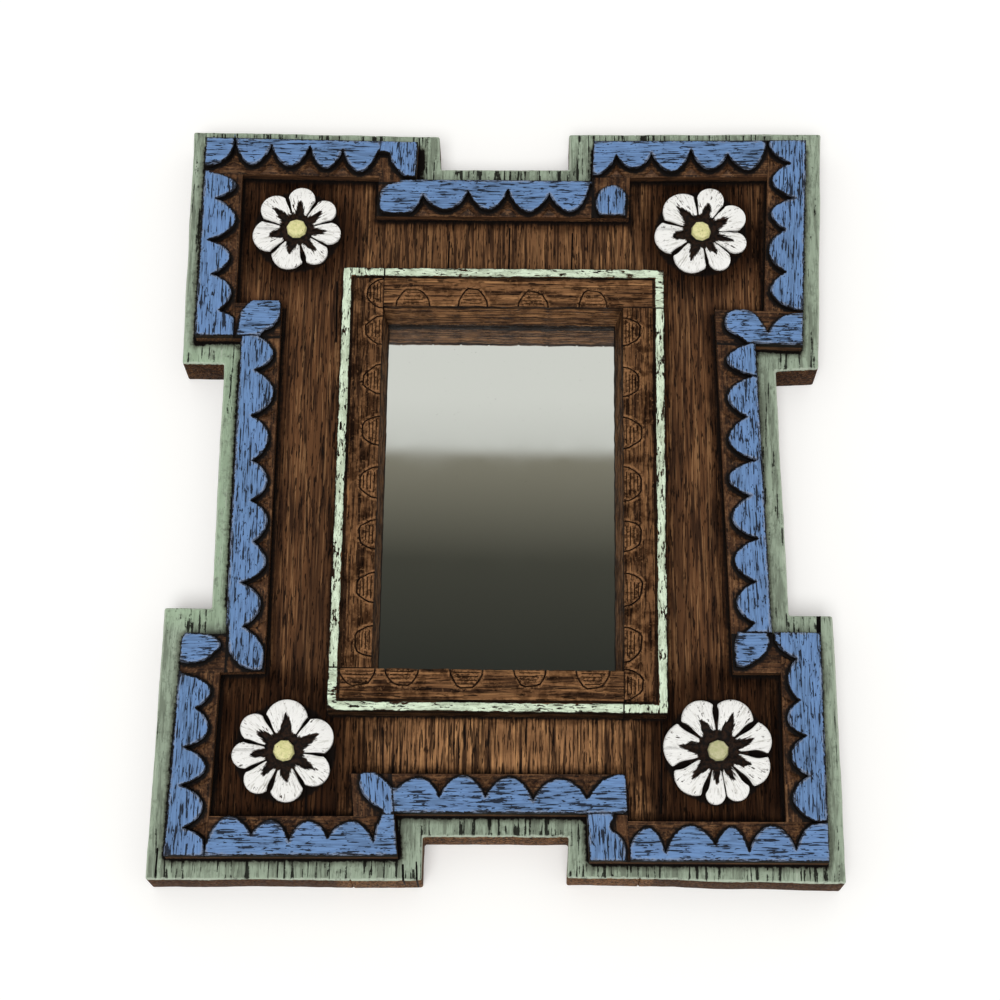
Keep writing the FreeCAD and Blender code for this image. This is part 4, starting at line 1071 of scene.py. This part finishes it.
class BuildFlowers(bpy.types.Operator):
    """White rosettes, each petal rounded and split by a gouge cut"""
    bl_idname = "mirror.build_flowers"
    bl_label = "Flowers"

    def execute(self, context):
        sizes, colours = context.scene.mirror_sizes, context.scene.mirror_colours
        material = petal_finish(colours)
        for name, (middle, radius, gaps, widths) in FLOWERS.items():
            core = [(middle[0] + 0.55 * radius * math.cos(t * math.pi / 16),
                     middle[1] + 0.55 * radius * math.sin(t * math.pi / 16)) for t in range(32)]
            shape = prism(core, BOARD_THICKNESS, CORE_TOP)
            cuts = []
            for index, gap in enumerate(gaps):
                after = (index + 1) % len(gaps)
                sides = ((gap, widths[index]), (gap + (gaps[after] - gap) % 360, widths[after]))
                petal = self.petal(middle, radius, sides, sizes.petal_round / MM, cuts)
                mesh = bpy.data.meshes.new("petal")
                petal.to_mesh(mesh)
                petal.free()
                shape.from_mesh(mesh)
                bpy.data.meshes.remove(mesh)

            def cut(spots, cuts=cuts, middle=middle, radius=radius):
                away = np.hypot(spots[:, 0] - middle[0], spots[:, 1] - middle[1])
                inner = [-depth_in(spots, notch) for notch in cuts]
                return np.clip(np.minimum(away - 0.36 * radius, np.min(inner, axis=0)), -3, 9)

            def way(spots, middle=middle, radius=radius):
                x, y = spots[:, 0] - middle[0], spots[:, 1] - middle[1]
                return np.column_stack((np.hypot(x, y), np.arctan2(y, x) * 0.7 * radius, spots[:, 2]))

            finished(shape, "petals_" + name, ["flower_" + name], material,
                     {"cut": cut}, way)
        return {"FINISHED"}

    def petal(self, middle, radius, sides, soft, cuts):
        """One petal between two gaps, split at its foot by a gouge cut."""
        def at(distance, degrees, shift=0.0):
            turn = math.radians(degrees)
            x, y = distance * radius * math.cos(turn), distance * radius * math.sin(turn)
            return (middle[0] + x - shift * math.sin(turn), middle[1] + y + shift * math.cos(turn))

        (gap, left), (end, right) = sides
        sweep, crown = end - gap, (gap + end) / 2
        shoulder = min(0.90, 0.63 + 0.18 * max(left, right))
        rim = arc(at(shoulder, gap, min(0.9 * left, 0.7)), at(1.0, crown),
                  at(shoulder, end, -min(0.9 * right, 0.7)), 14)
        outline = [at(0.35, gap, 0.3), at(0.52, gap, 0.55 * left), at(0.66, gap, left), at(0.76, gap, left)]
        outline += rim
        outline += [at(0.76, end, -right), at(0.66, end, -right), at(0.52, end, -0.55 * right),
                    at(0.35, end, -0.3)]
        shape = prism(cut_corners(outline), BOARD_THICKNESS, PETAL_TOP)
        tip = 0.66 + 0.06 * math.sin(7 * gap)
        notch = [at(0.25, crown - 0.36 * sweep), at(0.25, crown + 0.36 * sweep), at(0.40, crown + 0.23 * sweep),
                 at(0.53, crown + 0.11 * sweep), at(tip, crown + 2.0), at(0.52, crown - 0.12 * sweep),
                 at(0.40, crown - 0.22 * sweep)]
        cuts.append(notch)
        shape = cut_away(shape, [prism(notch, GOUGE_FLOOR, PETAL_TOP + 2)])
        soften(shape, soft, lambda edge: is_top_arris(edge, PETAL_TOP), 3)
        grid_cuts(shape, *PETAL_GRID)
        for vert in shape.verts:
            if vert.co.z > DOME_FROM:
                away = math.dist(vert.co[:2], middle) / radius
                fall = max(0.0, 0.62 - away) / 0.24
                sag = 1.1 * min(1.0, fall) + 0.35 * max(0.0, away - 0.8) / 0.2
                vert.co.z -= (vert.co.z - BOARD_THICKNESS) / (PETAL_TOP - BOARD_THICKNESS) * sag
        return shape


class BuildButtons(bpy.types.Operator):
    """Faceted yellow buttons in the middle of the flowers"""
    bl_idname = "mirror.build_buttons"
    bl_label = "Buttons"

    def execute(self, context):
        noise.seed_set(NOISE_SEED)
        colours = context.scene.mirror_colours
        bright = button_finish("yellow_buttons", tuple(colours.yellow), colours)
        dull = button_finish("dull_yellow_button", tuple(colours.yellow_dull), colours)
        for index, (name, (middle, *_)) in enumerate(FLOWERS.items()):
            shape = bmesh.new()
            bmesh.ops.create_cone(shape, cap_ends=True, cap_tris=False, **BUTTON, matrix=Matrix.Translation(
                (*middle, BUTTON_MIDDLE)) @ Matrix.Rotation(0.5 * index, 4, "Z"))
            for vert in shape.verts:
                vert.co += BUTTON_WEAR * noise.noise_vector(vert.co * 0.9)
            soften(shape, BUTTON_ARRIS, lambda edge: all(vert.co.z > PETAL_TOP for vert in edge.verts), 2)
            finished(shape, "knob_" + name, ["button_" + name],
                     dull if name == "br" else bright)
        return {"FINISHED"}


class FinishBack(bpy.types.Operator):
    """Glass, backing board, brads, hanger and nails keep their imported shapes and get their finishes"""
    bl_idname = "mirror.finish_back"
    bl_label = "Glass and back"

    def execute(self, context):
        finishes = {"mirror_glass": glass_finish(), "backing_board": fibreboard_finish()}
        steel = steel_finish()
        for name in ("backing_brads", "sawtooth_hanger", "hanger_nails"):
            finishes[name] = steel
        for name, material in finishes.items():
            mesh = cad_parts[name].data
            mesh.materials.clear()
            mesh.materials.append(material)
        return {"FINISHED"}


class BuildStage(bpy.types.Operator):
    """Pale table, soft light and the camera of the photograph"""
    bl_idname = "mirror.build_stage"
    bl_label = "Stage"

    def execute(self, context):
        scene = context.scene
        shape = bmesh.new()
        bmesh.ops.create_grid(shape, x_segments=1, y_segments=1, size=TABLE_HALF)
        mesh = bpy.data.meshes.new("table")
        shape.to_mesh(mesh)
        shape.free()
        table = bpy.data.objects.new("table", mesh)
        scene.collection.objects.link(table)
        finish = Finish("pale_table")
        seen = finish.node("LightPath")
        share = finish.math("MAXIMUM", seen.outputs["Is Camera Ray"], seen.outputs["Is Glossy Ray"])
        mesh.materials.append(finish.done((0.82, 0.82, 0.81), 0.8, Emission_Color=(1.0, 0.99, 0.97, 1.0),
                                          Emission_Strength=finish.times(share, TABLE_GLOW)))
        self.room(scene)
        sun = bpy.data.lights.new("window", "SUN")
        sun.energy, sun.angle = SUN_STRENGTH, math.radians(SUN_SPREAD)
        lamp = bpy.data.objects.new("window", sun)
        scene.collection.objects.link(lamp)
        lamp.rotation_euler = Vector(SUN_DIRECTION).to_track_quat("-Z", "Y").to_euler()
        camera = bpy.data.objects.new("camera", bpy.data.cameras.new("camera"))
        scene.collection.objects.link(camera)
        camera.data.lens, camera.data.sensor_width = LENS, SENSOR
        camera.matrix_world = Matrix(CAMERA)
        scene.camera = camera
        scene.view_settings.view_transform = "Standard"
        return {"FINISHED"}

    def room(self, scene):
        """Even pale light, and a room with a dark ceiling for what the glass reflects."""
        world = bpy.data.worlds.new("room")
        world.use_nodes = True
        tree = world.node_tree
        tree.nodes.clear()

        def node(kind, **settings):
            made = tree.nodes.new("ShaderNode" + kind)
            for key, value in settings.items():
                setattr(made, key, value)
            return made

        direction, parts, seen = node("TexCoord"), node("SeparateXYZ"), node("LightPath")
        side, sky, share = node("MapRange"), node("MapRange"), node("Math", operation="ADD")
        ramp = node("ValToRGB")
        plain, camera = node("Mix", data_type="RGBA"), node("Mix", data_type="RGBA")
        glow, out = node("Background"), node("OutputWorld")
        for band, bounds in ((side, (0.90, 0.84, 0.0, 1.0)), (sky, (0.24, 0.36, 0.0, 1.0))):
            for index, value in enumerate(bounds, 1):
                band.inputs[index].default_value = value
        stops = ((0.0, (0.026, 0.028, 0.024)), (0.45, (0.058, 0.058, 0.046)), (0.80, (0.222, 0.211, 0.165)),
                 (0.84, (0.60, 0.61, 0.575)), (1.0, (0.69, 0.70, 0.66)))
        for position, colour in stops:
            stop = ramp.color_ramp.elements.new(position) if 0 < position < 1 else ramp.color_ramp.elements[
                int(position) * (len(ramp.color_ramp.elements) - 1)]
            stop.position, stop.color = position, (*colour, 1.0)
        plain.inputs[6].default_value = (0.56, 0.555, 0.54, 1.0)
        camera.inputs[7].default_value = (1.0, 1.0, 1.0, 1.0)
        for source, output, target, socket in (
                (direction, "Generated", parts, 0), (parts, 2, side, 0), (parts, 1, sky, 0),
                (side, 0, share, 0), (sky, 0, share, 1), (share, 0, ramp, 0),
                (seen, "Is Glossy Ray", plain, 0), (ramp, 0, plain, 7), (seen, "Is Camera Ray", camera, 0),
                (plain, 2, camera, 6), (camera, 2, glow, 0), (glow, 0, out, 0)):
            tree.links.new(source.outputs[output], target.inputs[socket])
        scene.world = world


class MirrorPanel(bpy.types.Panel):
    bl_label = "Carved mirror"
    bl_idname = "VIEW3D_PT_carved_mirror"
    bl_space_type = "VIEW_3D"
    bl_region_type = "UI"
    bl_category = "Mirror"

    def draw(self, context):
        for group in (context.scene.mirror_sizes, context.scene.mirror_colours):
            for key in group.__annotations__:
                self.layout.prop(group, key)
        for step in STEPS:
            self.layout.operator(step.bl_idname)


STEPS = (BuildBoards, BuildStrips, BuildMoulding, BuildFlowers, BuildButtons, FinishBack, BuildStage)
CLASSES = (MirrorSizes, MirrorColours, *STEPS, MirrorPanel)


def register():
    for item in CLASSES:
        bpy.utils.register_class(item)
    bpy.types.Scene.mirror_sizes = bpy.props.PointerProperty(type=MirrorSizes)
    bpy.types.Scene.mirror_colours = bpy.props.PointerProperty(type=MirrorColours)


def unregister():
    del bpy.types.Scene.mirror_sizes
    del bpy.types.Scene.mirror_colours
    for item in reversed(CLASSES):
        bpy.utils.unregister_class(item)


def main():
    register()
    for step in STEPS:
        group, action = step.bl_idname.split(".")
        getattr(getattr(bpy.ops, group), action)()


if __name__ == "__main__":
    main()
